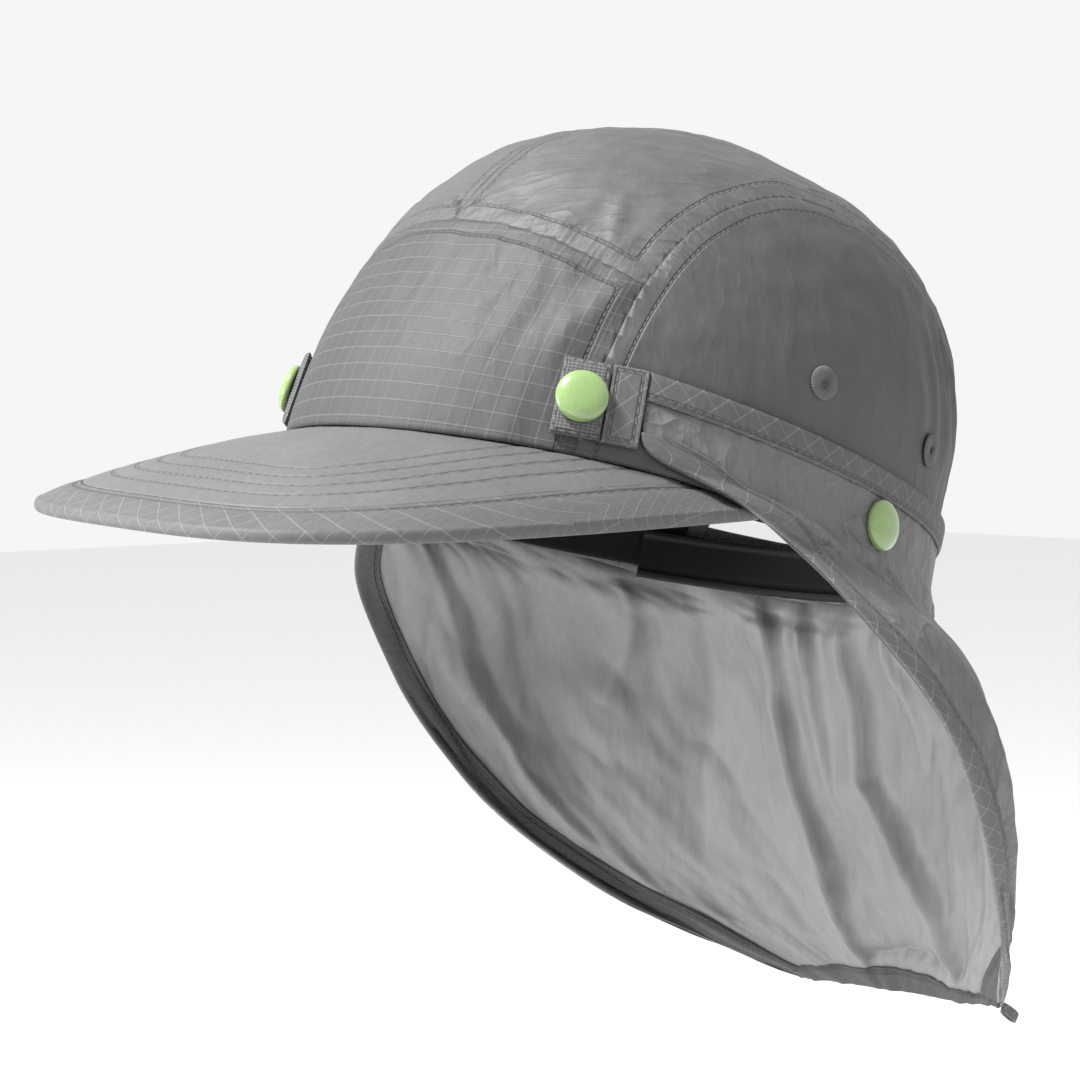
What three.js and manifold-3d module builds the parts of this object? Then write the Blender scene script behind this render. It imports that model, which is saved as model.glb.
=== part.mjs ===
// Flap sun hat: a five-panel camp cap with a curved visor and a neck flap that snaps on round the back.
// Millimetres, +Z up. The wearer faces -Y and the wearer's left is +X. The hat hangs as it is worn, with
// its head opening pitched down at the back, and the origin is the centre of the head opening.
import * as THREE from "three";
import { mergeVertices } from "three/addons/utils/BufferGeometryUtils.js";
import Module from "manifold-3d";

const wasm = await Module();
wasm.setup();

// Clearance between neighbouring pieces
const GAP = 0.3;

// Head opening and crown
const OPENING_HALF_WIDTH = 82;
const OPENING_FRONT = 103;
const OPENING_REAR = 91.5;
const CROWN_HEIGHT = 112;
const SHELL_WALL = 1.2;
const WORN_PITCH = 13.7;

// Seams of the crown
const SIDE_SEAM_X = 57;
const FRONT_SEAM_HEIGHT = 69;
const FRONT_SEAM_TILT = 36;

// Back opening with its size straps
const BACK_OPENING_HALF_WIDTH = 47;
const BACK_OPENING_HEIGHT = 46;
const STRAP_HEIGHT = 14;
const STRAP_WALL = 1.6;
const STRAP_LIP = 0.9;
const STRAP_LIP_HEIGHT = 2;
const STRAP_SAG = 3;
const STRAP_OVERLAP = 14;
const STRAP_PAST_CENTRE = 18;

// Sweatband
const SWEATBAND_HEIGHT = 28;
const SWEATBAND_WALL = 1.2;

// Visor, from its corners on the opening to its tip
const VISOR_REACH = 146;
const VISOR_HALF_WIDTH = 82;
const VISOR_FULLNESS = 3;
const VISOR_SLOPE = 13.6;
const VISOR_LEAN = 3.1;
const VISOR_CAMBER = 5;
const VISOR_JOINT_ANGLE = 70;
const VISOR_JOINT_ARCH = 7;
const VISOR_CORNER_HEIGHT = 3.5;
const VISOR_WALL = 3;
const VISOR_BINDING_WIDTH = 11.5;
const VISOR_BINDING_WALL = 3.6;

// Strip along the top edge of the flap, with its height above the opening at the front and the back
const STRIP_WIDTH = 7.6;
const STRIP_WALL = 1.4;
const STRIP_FRONT_HEIGHT = 28;
const STRIP_BACK_HEIGHT = 9;
const STRIP_FALL = 1.2;

// Tabs at the front ends of the strip, each with webbing under its snap
const TAB_ANGLE = 44.3;
const TAB_WIDTH = 9.4;
const TAB_HEIGHT = 21;
const TAB_CENTRE_HEIGHT = 21.5;
const TAB_WALL = 1.6;
const WEBBING_WIDTH = 12.6;
const WEBBING_HEIGHT = 20.5;
const WEBBING_WALL = 2;

// Snap caps; the side ones sit on the flap, by shares of its half width and of its drop
const CAP_DIAMETER = 14;
const CAP_HEIGHT = 3.6;
const SIDE_SNAP_ACROSS = 0.593;
const SIDE_SNAP_DOWN = 0.063;

// Eyelets
const EYELET_DIAMETER = 8.4;
const EYELET_HOLE = 3.6;
const EYELET_WALL = 0.9;
const SIDE_EYELET_ANGLE = 81.5;
const SIDE_EYELET_HEIGHT = 40.3;
const REAR_EYELET_ANGLE = 118;
const REAR_EYELET_HEIGHT = 33.4;

// Neck flap: its widest half width, how far back and how low it reaches, and its standoff on the crown
const FLAP_WALL = 1;
const FLAP_SPREAD = 110;
const FLAP_BACK = 118.5;
const FLAP_DROP = 141.5;
const FLAP_STANDOFF = 1.3;
const FLAP_BINDING_WIDTH = 7;
const FLAP_BINDING_WALL = 1.8;

// Hanging loop at the flap's lower corner
const LOOP_LENGTH = 8;
const LOOP_BREADTH = 3.4;
const LOOP_TAPE_WIDTH = 3;
const LOOP_TAPE_WALL = 0.9;

// Facets
const CROWN_STEPS_ROUND = 44;
const CROWN_STEPS_UP = 11;
const VISOR_STEPS = 30;
const VISOR_ROWS = 4;
const FLAP_STEPS_ACROSS = 32;
const FLAP_STEPS_DOWN = 22;
const FLAP_SAMPLES = 48;
const BAND_STEPS = 40;
const ROUND_STEPS = 14;
const JOINT_STEPS = 108;

const shellFabric = { color: 0x7d7e80, roughness: 0.78, metalness: 0 };
const ripstopFabric = { color: 0x868789, roughness: 0.8, metalness: 0 };
const flapFabric = { color: 0x8a8b8c, roughness: 0.72, metalness: 0 };
const bindingFabric = { color: 0x5c5d60, roughness: 0.8, metalness: 0 };
const webbingFabric = { color: 0x6f7073, roughness: 0.85, metalness: 0 };
const bandFabric = { color: 0x16171a, roughness: 0.9, metalness: 0 };
const strapPlastic = { color: 0x101114, roughness: 0.5, metalness: 0 };
const capLacquer = { color: 0xa9cf7c, roughness: 0.25, metalness: 0 };

// Crown sections from the opening (0 degrees) to the top (90), as shares of the plain ellipse between
// the opening's size and the crown's height.
const CROWN_SECTIONS = [
  { rise: 0, front: 1, side: 1, rear: 1 },
  { rise: 15, front: 0.985, side: 1.02, rear: 1.065 },
  { rise: 30, front: 0.967, side: 1.074, rear: 1.145 },
  { rise: 45, front: 0.987, side: 1.09, rear: 1.168 },
  { rise: 60, front: 1.008, side: 1.073, rear: 1.103 },
  { rise: 75, front: 1.001, side: 1.019, rear: 1.039 },
  { rise: 90, front: 1, side: 1, rear: 1 },
];

// Flap sections on the crown, below the strip: the side edge's angle and height, the back's height and
// the standoff, as shares of the tab's angle and height, the flap's drop and its standoff.
const FLAP_ON_CROWN = [
  { edgeAngle: 1.09, edgeHeight: 0.51, backHeight: -0.015, edgeOff: 1.3, backOff: 1.2 },
  { edgeAngle: 1.31, edgeHeight: 0.33, backHeight: -0.05, edgeOff: 1.6, backOff: 1.5 },
  { edgeAngle: 1.49, edgeHeight: 0.12, backHeight: -0.085, edgeOff: 5.4, backOff: 2.1 },
  { edgeAngle: 1.76, edgeHeight: -0.2, backHeight: -0.12, edgeOff: 3.6, backOff: 3.2 },
];

// Flap sections below the crown, from the top down, as shares of the flap's spread, back and drop: the side
// edge's place out, aft and down, the back's place, and how far the section keeps its direction at both.
const FLAP_HANGING = [
  { out: 0.9, aft: -0.09, down: 0.106, back: 0.8, backDown: 0.4, side: 0.6, rear: 0.76 },
  { out: 0.98, aft: 0.046, down: 0.247, back: 0.82, backDown: 0.52, side: 0.45, rear: 0.62 },
  { out: 1, aft: 0.169, down: 0.389, back: 0.845, backDown: 0.62, side: 0.34, rear: 0.52 },
  { out: 0.964, aft: 0.286, down: 0.53, back: 0.875, backDown: 0.71, side: 0.27, rear: 0.46 },
  { out: 0.876, aft: 0.426, down: 0.671, back: 0.91, backDown: 0.8, side: 0.24, rear: 0.45 },
  { out: 0.723, aft: 0.617, down: 0.813, back: 0.95, backDown: 0.88, side: 0.15, rear: 0.45 },
  { out: 0.565, aft: 0.781, down: 0.905, back: 0.975, backDown: 0.94, side: 0.15, rear: 0.45 },
  { out: 0.364, aft: 0.987, down: 1, back: 1, backDown: 0.997, side: 0.2, rear: 0.45 },
];

// Main folds of the flap: where the fold starts and ends across and down, its half width as a share of
// the half width, and its depth as a share of the deepest fold, outwards or, below zero, inwards.
const FLAP_FOLD_DEPTH = 5;
const FLAP_FOLDS = [
  { acrossTop: -0.85, top: 0.26, acrossFoot: -0.7, foot: 0.76, width: 0.07, depth: 0.7 },
  { acrossTop: -0.36, top: 0.14, acrossFoot: -0.48, foot: 0.52, width: 0.07, depth: 0.4 },
  { acrossTop: -0.2, top: 0.2, acrossFoot: -0.42, foot: 0.86, width: 0.07, depth: -0.7 },
  { acrossTop: -0.13, top: 0.12, acrossFoot: -0.14, foot: 1.02, width: 0.06, depth: 1 },
  { acrossTop: -0.04, top: 0.16, acrossFoot: 0, foot: 0.7, width: 0.06, depth: -0.6 },
  { acrossTop: 0, top: 0.36, acrossFoot: 0.4, foot: 0.95, width: 0.07, depth: 0.8 },
  { acrossTop: 0.5, top: 0.3, acrossFoot: 0.55, foot: 0.85, width: 0.08, depth: -0.6 },
  { acrossTop: 0.82, top: 0.3, acrossFoot: 0.7, foot: 0.8, width: 0.07, depth: 0.5 },
];

const radians = THREE.MathUtils.degToRad;
const hat = new THREE.Group();
const worn = new THREE.Group();
worn.rotation.x = -radians(WORN_PITCH);
hat.add(worn);
worn.updateMatrix();

// A smooth value through the numbers of one column at a place between 0 and the last row
function smoothColumn(values, place) {
  const last = values.length - 1;
  const at = THREE.MathUtils.clamp(place, 0, last);
  const row = Math.min(Math.floor(at), last - 1);
  const t = at - row;
  const before = values[Math.max(row - 1, 0)];
  const after = values[Math.min(row + 2, last)];
  const from = (values[row + 1] - before) / (row > 0 ? 2 : 1);
  const to = (after - values[row]) / (row + 2 <= last ? 2 : 1);
  const t2 = t * t;
  const t3 = t2 * t;
  return (
    (2 * t3 - 3 * t2 + 1) * values[row] +
    (t3 - 2 * t2 + t) * from +
    (3 * t2 - 2 * t3) * values[row + 1] +
    (t3 - t2) * to
  );
}

// The crown's radius in a direction: round from the front towards the wearer's left, and up
function crownReach(round, rise) {
  const place = (rise / (Math.PI / 2)) * (CROWN_SECTIONS.length - 1);
  const reach = (opening, column) => {
    const ellipse = Math.hypot(Math.cos(rise) / opening, Math.sin(rise) / CROWN_HEIGHT);
    const shares = CROWN_SECTIONS.map((row) => row[column]);
    return smoothColumn(shares, place) / ellipse;
  };
  const forward = Math.cos(round) > 0;
  const along = forward ? reach(OPENING_FRONT, "front") : reach(OPENING_REAR, "rear");
  const across = reach(OPENING_HALF_WIDTH, "side");
  return 1 / Math.hypot(Math.sin(round) / across, Math.cos(round) / along);
}

function crownSurface(round, rise) {
  const reach = crownReach(round, Math.max(rise, 0));
  const flat = reach * Math.cos(Math.max(rise, 0));
  const up = rise < 0 ? reach * rise : reach * Math.sin(rise);
  return new THREE.Vector3(flat * Math.sin(round), -flat * Math.cos(round), up);
}

function crownNormal(round, rise) {
  const step = 0.002;
  const low = Math.min(rise, Math.PI / 2 - 2 * step);
  const a = crownSurface(round + step, low).sub(crownSurface(round - step, low));
  const b = crownSurface(round, low + step).sub(crownSurface(round, low - step));
  return a.cross(b).normalize();
}

// A point that stands off the crown's outside by some distance
function crownPoint(round, rise, standoff = 0) {
  return crownSurface(round, rise).addScaledVector(crownNormal(round, rise), standoff);
}

// The rise at which the crown reaches a height above the opening
function riseAt(round, height) {
  if (height <= 0) {
    return height / crownReach(round, 0);
  }
  let low = 0;
  let high = radians(80);
  for (let i = 0; i < 30; i++) {
    const middle = (low + high) / 2;
    if (crownSurface(round, middle).z < height) {
      low = middle;
    } else {
      high = middle;
    }
  }
  return low;
}

const onCrown = (round, height, standoff) => crownPoint(round, riseAt(round, height), standoff);

// A closed solid from a grid of points on its outside and the matching grid on its inside
function gridSolid(outside, inside) {
  const rows = outside.length;
  const columns = outside[0].length;
  const positions = [...outside.flat(), ...inside.flat()].flatMap((p) => p.toArray());
  const index = [];
  const at = (side, i, j) => side * rows * columns + i * columns + j;
  const quad = (a, b, c, d) => index.push(a, b, c, a, c, d);
  for (let i = 0; i < rows - 1; i++) {
    for (let j = 0; j < columns - 1; j++) {
      quad(at(0, i, j), at(0, i, j + 1), at(0, i + 1, j + 1), at(0, i + 1, j));
      quad(at(1, i, j), at(1, i + 1, j), at(1, i + 1, j + 1), at(1, i, j + 1));
    }
  }
  for (let j = 0; j < columns - 1; j++) {
    quad(at(0, 0, j), at(1, 0, j), at(1, 0, j + 1), at(0, 0, j + 1));
    quad(at(0, rows - 1, j), at(0, rows - 1, j + 1), at(1, rows - 1, j + 1), at(1, rows - 1, j));
  }
  for (let i = 0; i < rows - 1; i++) {
    quad(at(0, i, 0), at(0, i + 1, 0), at(1, i + 1, 0), at(1, i, 0));
    quad(at(0, i, columns - 1), at(1, i, columns - 1), at(1, i + 1, columns - 1), at(0, i + 1, columns - 1));
  }
  return outward(fromArrays(positions, index));
}

function fromArrays(positions, index) {
  const geometry = new THREE.BufferGeometry();
  geometry.setAttribute("position", new THREE.Float32BufferAttribute(positions, 3));
  geometry.setIndex(index);
  return geometry;
}

function signedVolume(geometry) {
  const p = geometry.attributes.position;
  const corners = [new THREE.Vector3(), new THREE.Vector3(), new THREE.Vector3()];
  let sum = 0;
  for (let i = 0; i < geometry.index.count; i += 3) {
    corners.forEach((corner, k) => corner.fromBufferAttribute(p, geometry.index.getX(i + k)));
    sum += corners[0].dot(corners[1].clone().cross(corners[2])) / 6;
  }
  return sum;
}

// The same solid with its faces pointing out
function outward(geometry) {
  if (signedVolume(geometry) < 0) {
    geometry.setIndex([...geometry.index.array].reverse());
  }
  return geometry;
}

function toSolid(geometry) {
  const plain = geometry.clone();
  plain.deleteAttribute("normal");
  plain.deleteAttribute("uv");
  const merged = mergeVertices(plain, 1e-4);
  return new wasm.Manifold(
    new wasm.Mesh({
      numProp: 3,
      vertProperties: new Float32Array(merged.attributes.position.array),
      triVerts: new Uint32Array(merged.index.array),
    }),
  );
}

function toGeometry(solid) {
  const mesh = solid.getMesh();
  return fromArrays([...mesh.vertProperties], [...mesh.triVerts]);
}

function addPiece(group, name, geometry, finish) {
  const mesh = new THREE.Mesh(geometry, new THREE.MeshStandardMaterial(finish));
  mesh.name = name;
  group.add(mesh);
  return mesh;
}

function mirrored(geometry) {
  return outward(geometry.clone().scale(-1, 1, 1));
}

function addPair(group, name, geometry, finish) {
  addPiece(group, name + "_left", geometry, finish);
  addPiece(group, name + "_right", mirrored(geometry), finish);
}

// The crown as a closed dome whose surface stands off the outside, carried down below the opening
function domeSolid(standoff) {
  const below = 2 * VISOR_BINDING_WIDTH;
  const positions = [];
  const index = [];
  const rings = CROWN_STEPS_UP + 1;
  for (let i = 0; i < rings; i++) {
    for (let j = 0; j < CROWN_STEPS_ROUND; j++) {
      const round = (j / CROWN_STEPS_ROUND) * 2 * Math.PI;
      const rise = ((i - 1) / CROWN_STEPS_UP) * (Math.PI / 2);
      const p = i > 0 ? crownPoint(round, rise, standoff) : crownPoint(round, 0, standoff).setZ(-below);
      positions.push(...p.toArray());
    }
  }
  const top = positions.length / 3;
  positions.push(0, 0, CROWN_HEIGHT + standoff, 0, 0, -below);
  for (let j = 0; j < CROWN_STEPS_ROUND; j++) {
    const next = (j + 1) % CROWN_STEPS_ROUND;
    for (let i = 0; i < rings - 1; i++) {
      const a = i * CROWN_STEPS_ROUND;
      const b = a + CROWN_STEPS_ROUND;
      index.push(a + j, a + next, b + next, a + j, b + next, b + j);
    }
    const ring = (rings - 1) * CROWN_STEPS_ROUND;
    index.push(ring + j, ring + next, top, next, j, top + 1);
  }
  return toSolid(outward(fromArrays(positions, index)));
}

// A box between two corners, as a solid
function boxSolid(low, high) {
  const size = high.clone().sub(low);
  const box = new THREE.BoxGeometry(size.x, size.y, size.z);
  return toSolid(box.translate(...low.clone().add(high).multiplyScalar(0.5).toArray()));
}

// The joint of crown and visor: its angle round the front and its height above the opening
function jointHeight(round) {
  const share = Math.min(Math.abs(round) / radians(VISOR_JOINT_ANGLE), 1);
  return VISOR_CORNER_HEIGHT + (VISOR_JOINT_ARCH - VISOR_CORNER_HEIGHT) * (1 - share ** 4);
}

// The crown's lower edge: clear over the joint, and down to the opening behind the visor's corners
function crownEdge(round) {
  const past = Math.abs(round) / radians(VISOR_JOINT_ANGLE) - 1;
  const left = THREE.MathUtils.clamp(1 - 8 * (past - 0.04), 0, 1);
  return (jointHeight(round) + GAP) * left;
}

// All that lies below the joint, in front and inside, to cut the crown's lower edge
function belowJoint() {
  const below = 3 * VISOR_BINDING_WIDTH;
  const far = OPENING_FRONT + OPENING_HALF_WIDTH;
  const upper = [];
  const lower = [];
  for (const share of [0.05, 1]) {
    const over = [];
    const under = [];
    for (let j = 0; j <= JOINT_STEPS; j++) {
      const round = (j / JOINT_STEPS) * 2 * Math.PI;
      const away = round > Math.PI ? round - 2 * Math.PI : round;
      const reach = share * far;
      const x = reach * Math.sin(round);
      const y = -reach * Math.cos(round);
      over.push(new THREE.Vector3(x, y, crownEdge(away)));
      under.push(new THREE.Vector3(x, y, -below));
    }
    upper.push(over);
    lower.push(under);
  }
  const core = new THREE.CylinderGeometry(0.06 * far, 0.06 * far, below + VISOR_JOINT_ARCH, ROUND_STEPS);
  core.rotateX(Math.PI / 2).translate(0, 0, (VISOR_JOINT_ARCH - below) / 2);
  return toSolid(gridSolid(upper, lower)).add(toSolid(core));
}

function backOpening() {
  const arch = new THREE.Shape();
  arch.moveTo(-BACK_OPENING_HALF_WIDTH, -CROWN_HEIGHT / 4);
  arch.lineTo(BACK_OPENING_HALF_WIDTH, -CROWN_HEIGHT / 4);
  arch.lineTo(BACK_OPENING_HALF_WIDTH, 0);
  arch.absellipse(0, 0, BACK_OPENING_HALF_WIDTH, BACK_OPENING_HEIGHT, 0, Math.PI, false);
  const depth = OPENING_REAR;
  const cut = new THREE.ExtrudeGeometry(arch, { depth, bevelEnabled: false, curveSegments: ROUND_STEPS });
  return toSolid(cut.rotateX(Math.PI / 2).translate(0, 1.5 * depth, 0));
}

function eyeletHole(angle, height) {
  const round = radians(angle);
  const rise = riseAt(round, height);
  const depth = 8 * SHELL_WALL;
  const hole = new THREE.CylinderGeometry(EYELET_HOLE / 2, EYELET_HOLE / 2, depth, ROUND_STEPS);
  hole.rotateX(Math.PI / 2).applyMatrix4(facing(crownSurface(round, rise), crownNormal(round, rise)));
  return toSolid(hole);
}

// The placement whose local Z points along a normal
function facing(point, normal) {
  const turn = new THREE.Quaternion().setFromUnitVectors(new THREE.Vector3(0, 0, 1), normal);
  return new THREE.Matrix4().compose(point, turn, new THREE.Vector3(1, 1, 1));
}

// The five panels are cut from one shell along the seams
function addPanels() {
  const far = 2 * CROWN_HEIGHT;
  const half = GAP / 2;
  let shell = domeSolid(0).subtract(domeSolid(-SHELL_WALL)).subtract(belowJoint());
  shell = shell.subtract(backOpening());
  const seamTop = onCrown(0, FRONT_SEAM_HEIGHT, 0);
  const front = new THREE.BoxGeometry(2 * far, 2 * far, far);
  front.translate(0, 0, -far / 2 - half).rotateX(-radians(FRONT_SEAM_TILT)).translate(...seamTop.toArray());
  const behind = new THREE.BoxGeometry(2 * far, 2 * far, far);
  behind.translate(0, 0, far / 2 + half).rotateX(-radians(FRONT_SEAM_TILT)).translate(...seamTop.toArray());
  const middle = boxSolid(
    new THREE.Vector3(-SIDE_SEAM_X + half, -far, -far),
    new THREE.Vector3(SIDE_SEAM_X - half, far, far),
  );
  const corner = new THREE.Vector3(far, far, far);
  const leftTop = boxSolid(new THREE.Vector3(half, -far, -far), corner.clone().setX(SIDE_SEAM_X - half));
  const leftSide = boxSolid(new THREE.Vector3(SIDE_SEAM_X + half, -far, -far), corner);
  const brow = shell.intersect(middle).intersect(toSolid(front));
  addPiece(worn, "front_panel", toGeometry(brow), ripstopFabric);
  const top = shell.intersect(leftTop).intersect(toSolid(behind));
  addPair(worn, "top_panel", toGeometry(top), shellFabric);
  let side = shell.intersect(leftSide);
  side = side.subtract(eyeletHole(SIDE_EYELET_ANGLE, SIDE_EYELET_HEIGHT));
  side = side.subtract(eyeletHole(REAR_EYELET_ANGLE, REAR_EYELET_HEIGHT));
  addPair(worn, "side_panel", toGeometry(side), shellFabric);
}

// A board as a closed solid: its grid of points on top, and the same grid lower down
function boardSolid(points, wall) {
  return gridSolid(
    points,
    points.map((row) => row.map((point) => point.clone().setZ(point.z - wall))),
  );
}

// Evenly spaced numbers, ends included
function spread(from, to, steps) {
  return Array.from({ length: steps + 1 }, (_, i) => from + ((to - from) * i) / steps);
}

function distanceToLine(point, line) {
  const nearest = new THREE.Vector3();
  const reaches = line.slice(1).map((corner, i) => {
    new THREE.Line3(line[i], corner).closestPointToPoint(point, true, nearest);
    return nearest.distanceTo(point);
  });
  return Math.min(...reaches);
}

// The share along a curve that runs up to a line, at which some distance to the line is left
function shareBefore(pointAt, line, distance) {
  let low = 0;
  let high = 1;
  for (let i = 0; i < 18; i++) {
    const middle = (low + high) / 2;
    if (distanceToLine(pointAt(middle), line) > distance) {
      low = middle;
    } else {
      high = middle;
    }
  }
  return low;
}

// The visor's joint on the crown, from corner to corner
function visorJoint(across, inset) {
  const round = across * radians(VISOR_JOINT_ANGLE);
  const height = jointHeight(round);
  return onCrown(round, height, inset).setZ(height);
}

// The visor's free edge: a rounded outline in a plane that slopes down from the two corners and leans
// a little up on the wearer's right
function visorRim(across) {
  const turn = (across * Math.PI) / 2;
  const power = 2 / VISOR_FULLNESS;
  const side = Math.sign(turn) * Math.abs(Math.sin(turn)) ** power;
  const forward = VISOR_REACH * Math.cos(turn) ** power;
  const slope = radians(VISOR_SLOPE);
  const corner = visorJoint(1, 0);
  const x = VISOR_HALF_WIDTH * side;
  const lean = (x * Math.tan(radians(VISOR_LEAN)) * forward) / VISOR_REACH;
  const z = corner.z - forward * Math.sin(slope) - lean;
  return new THREE.Vector3(x, corner.y - forward * Math.cos(slope), z);
}

// A point of the visor's top at a share of the way from the joint to the free edge, with its camber
function visorPoint(across, share) {
  const joint = visorJoint(across, -SHELL_WALL / 2);
  const rim = visorRim(across);
  const bulge = (VISOR_CAMBER * 4 * share * (1 - share) * joint.distanceTo(rim)) / VISOR_REACH;
  const point = joint.lerp(rim, share);
  return point.setZ(point.z + bulge);
}

function addVisor() {
  const rim = spread(-1, 1, 3 * VISOR_STEPS).map(visorRim);
  const inset = (across, distance) => shareBefore((share) => visorPoint(across, share), rim, distance);
  const boardInset = VISOR_BINDING_WIDTH + GAP;
  const boardWidth = (across) => inset(across, boardInset) * visorRim(across).distanceTo(visorJoint(across, 0));
  let reach = 1;
  while (reach > 0.5 && boardWidth(reach) < VISOR_WALL) {
    reach -= 0.004;
  }
  const inner = spread(-reach, reach, VISOR_STEPS);
  const board = spread(0, 1, VISOR_ROWS).map((share) =>
    inner.map((across) => visorPoint(across, inset(across, boardInset) * share)),
  );
  addPiece(worn, "visor", boardSolid(board, VISOR_WALL), shellFabric);
  const ends = spread(reach, 1, 2).slice(1);
  const stations = [...ends.map((across) => -across).reverse(), ...inner, ...ends];
  const edge = [0, 0.5, 1].map((share) =>
    stations.map((across) => {
      const start = Math.max(inset(across, VISOR_BINDING_WIDTH), 0.02);
      return visorPoint(across, start + (1 - start) * share);
    }),
  );
  addPiece(worn, "visor_binding", boardSolid(edge, VISOR_BINDING_WALL), bindingFabric);
}

// The angle round the back where the crown is a given distance from the middle
function backAngle(across) {
  let low = Math.PI / 2;
  let high = Math.PI;
  for (let i = 0; i < 30; i++) {
    const middle = (low + high) / 2;
    if (crownSurface(middle, 0).x > across) {
      low = middle;
    } else {
      high = middle;
    }
  }
  return low;
}

// How far the angle moves for a distance along the crown at one height
function angleFor(distance, round, height) {
  const step = 0.01;
  const speed = onCrown(round + step, height, 0).distanceTo(onCrown(round, height, 0)) / step;
  return distance / speed;
}

// A band that follows the crown: rows of height, outer standoff and inner standoff
function bandSolid(rounds, rows) {
  const face = (column) => rows.map((row) => rounds.map((round) => onCrown(round, row.height, row[column])));
  return gridSolid(face("outer"), face("inner"));
}

// The crown's own stations between two angles, with both ends
function stationsRound(from, to) {
  const turn = (2 * Math.PI) / CROWN_STEPS_ROUND;
  const inside = [];
  for (let j = Math.floor(from / turn) + 1; j * turn < to - turn / 8; j++) {
    if (j * turn > from + turn / 8) {
      inside.push(j * turn);
    }
  }
  return [from, ...inside, to];
}

function addSweatband() {
  const end = backAngle(BACK_OPENING_HALF_WIDTH + 2 * GAP);
  const outer = -SHELL_WALL - GAP;
  const inner = outer - SWEATBAND_WALL;
  const rows = spread(0, SWEATBAND_HEIGHT, 3).map((height) => ({ height, outer, inner }));
  addPiece(worn, "sweatband", bandSolid(stationsRound(-end, end), rows), bandFabric);
}

// The left strap meets the sweatband end to end, and the right one lies inside both, with raised lips
function addStraps() {
  const end = backAngle(BACK_OPENING_HALF_WIDTH + GAP);
  const past = angleFor(STRAP_PAST_CENTRE, Math.PI, 0);
  const outer = -SHELL_WALL - GAP;
  const foot = -STRAP_SAG;
  const head = STRAP_HEIGHT - STRAP_SAG;
  const plain = spread(foot, head, 2).map((height) => ({ height, outer, inner: outer - STRAP_WALL }));
  const left = stationsRound(end, Math.PI + past);
  addPiece(worn, "adjuster_strap_left", bandSolid(left, plain), strapPlastic);
  const laid = outer - STRAP_WALL - GAP;
  const floor = laid - STRAP_WALL;
  const lipped = [
    { height: foot, outer: laid, inner: floor - STRAP_LIP },
    { height: foot + STRAP_LIP_HEIGHT, outer: laid, inner: floor - STRAP_LIP },
    { height: foot + 1.2 * STRAP_LIP_HEIGHT, outer: laid, inner: floor },
    { height: head - 1.2 * STRAP_LIP_HEIGHT, outer: laid, inner: floor },
    { height: head - STRAP_LIP_HEIGHT, outer: laid, inner: floor - STRAP_LIP },
    { height: head, outer: laid, inner: floor - STRAP_LIP },
  ];
  const start = backAngle(BACK_OPENING_HALF_WIDTH) - angleFor(STRAP_OVERLAP, Math.PI, 0);
  const right = stationsRound(-Math.PI - past, -start);
  addPiece(worn, "adjuster_strap_right", bandSolid(right, lipped), strapPlastic);
}

const tabEnd = () => radians(TAB_ANGLE) + angleFor(TAB_WIDTH / 2, radians(TAB_ANGLE), TAB_CENTRE_HEIGHT);

// The height of the strip's middle above the opening, from its front end to the back
function stripHeight(round) {
  const share = (Math.abs(round) - tabEnd()) / (Math.PI - tabEnd());
  const left = Math.max(1 - share, 0) ** STRIP_FALL;
  return STRIP_BACK_HEIGHT + (STRIP_FRONT_HEIGHT - STRIP_BACK_HEIGHT) * left;
}

function addStrip() {
  const start = tabEnd() + angleFor(GAP, tabEnd(), STRIP_FRONT_HEIGHT);
  const rounds = spread(start, 2 * Math.PI - start, BAND_STEPS);
  const face = (standoff) =>
    [-0.5, 0, 0.5].map((share) =>
      rounds.map((round) => {
        const away = round > Math.PI ? round - 2 * Math.PI : round;
        return onCrown(round, stripHeight(away) + share * STRIP_WIDTH, standoff);
      }),
    );
  addPiece(worn, "flap_top_strip", gridSolid(face(2 * GAP + STRIP_WALL), face(2 * GAP)), bindingFabric);
}

// A flat patch laid on the crown round a centre, between two standoffs
function patchSolid(round, height, width, tall, low, high) {
  const half = angleFor(width / 2, round, height);
  const rounds = spread(round - half, round + half, 4);
  const rows = spread(height - tall / 2, height + tall / 2, 5);
  return bandSolid(
    rounds,
    rows.map((at) => ({ height: at, outer: high, inner: low })),
  );
}

function webbingAngle() {
  const middle = radians(TAB_ANGLE);
  return middle - angleFor((TAB_WIDTH + WEBBING_WIDTH) / 2 + GAP, middle, TAB_CENTRE_HEIGHT);
}

function addTabs() {
  const low = 2 * GAP;
  const tab = patchSolid(radians(TAB_ANGLE), TAB_CENTRE_HEIGHT, TAB_WIDTH, TAB_HEIGHT, low, low + TAB_WALL);
  addPair(worn, "tab", tab, ripstopFabric);
  const round = webbingAngle();
  const high = low + WEBBING_WALL;
  const webbing = patchSolid(round, TAB_CENTRE_HEIGHT, WEBBING_WIDTH, WEBBING_HEIGHT, low, high);
  addPair(worn, "tab_webbing", webbing, webbingFabric);
}

// A snap cap as a low dome with a rolled rim, its seat at the origin and facing +Z
function capGeometry() {
  const radius = CAP_DIAMETER / 2;
  const profile = [
    [0, 0],
    [0.92, 0],
    [1, 0.22],
    [0.97, 0.5],
    [0.84, 0.78],
    [0.5, 0.95],
    [0, 1],
  ].map(([out, up]) => new THREE.Vector2(out * radius, up * CAP_HEIGHT));
  return new THREE.LatheGeometry(profile, ROUND_STEPS).rotateX(Math.PI / 2);
}

// A lathed shape as one closed mesh
function closed(geometry) {
  return toGeometry(toSolid(outward(geometry)));
}

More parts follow.
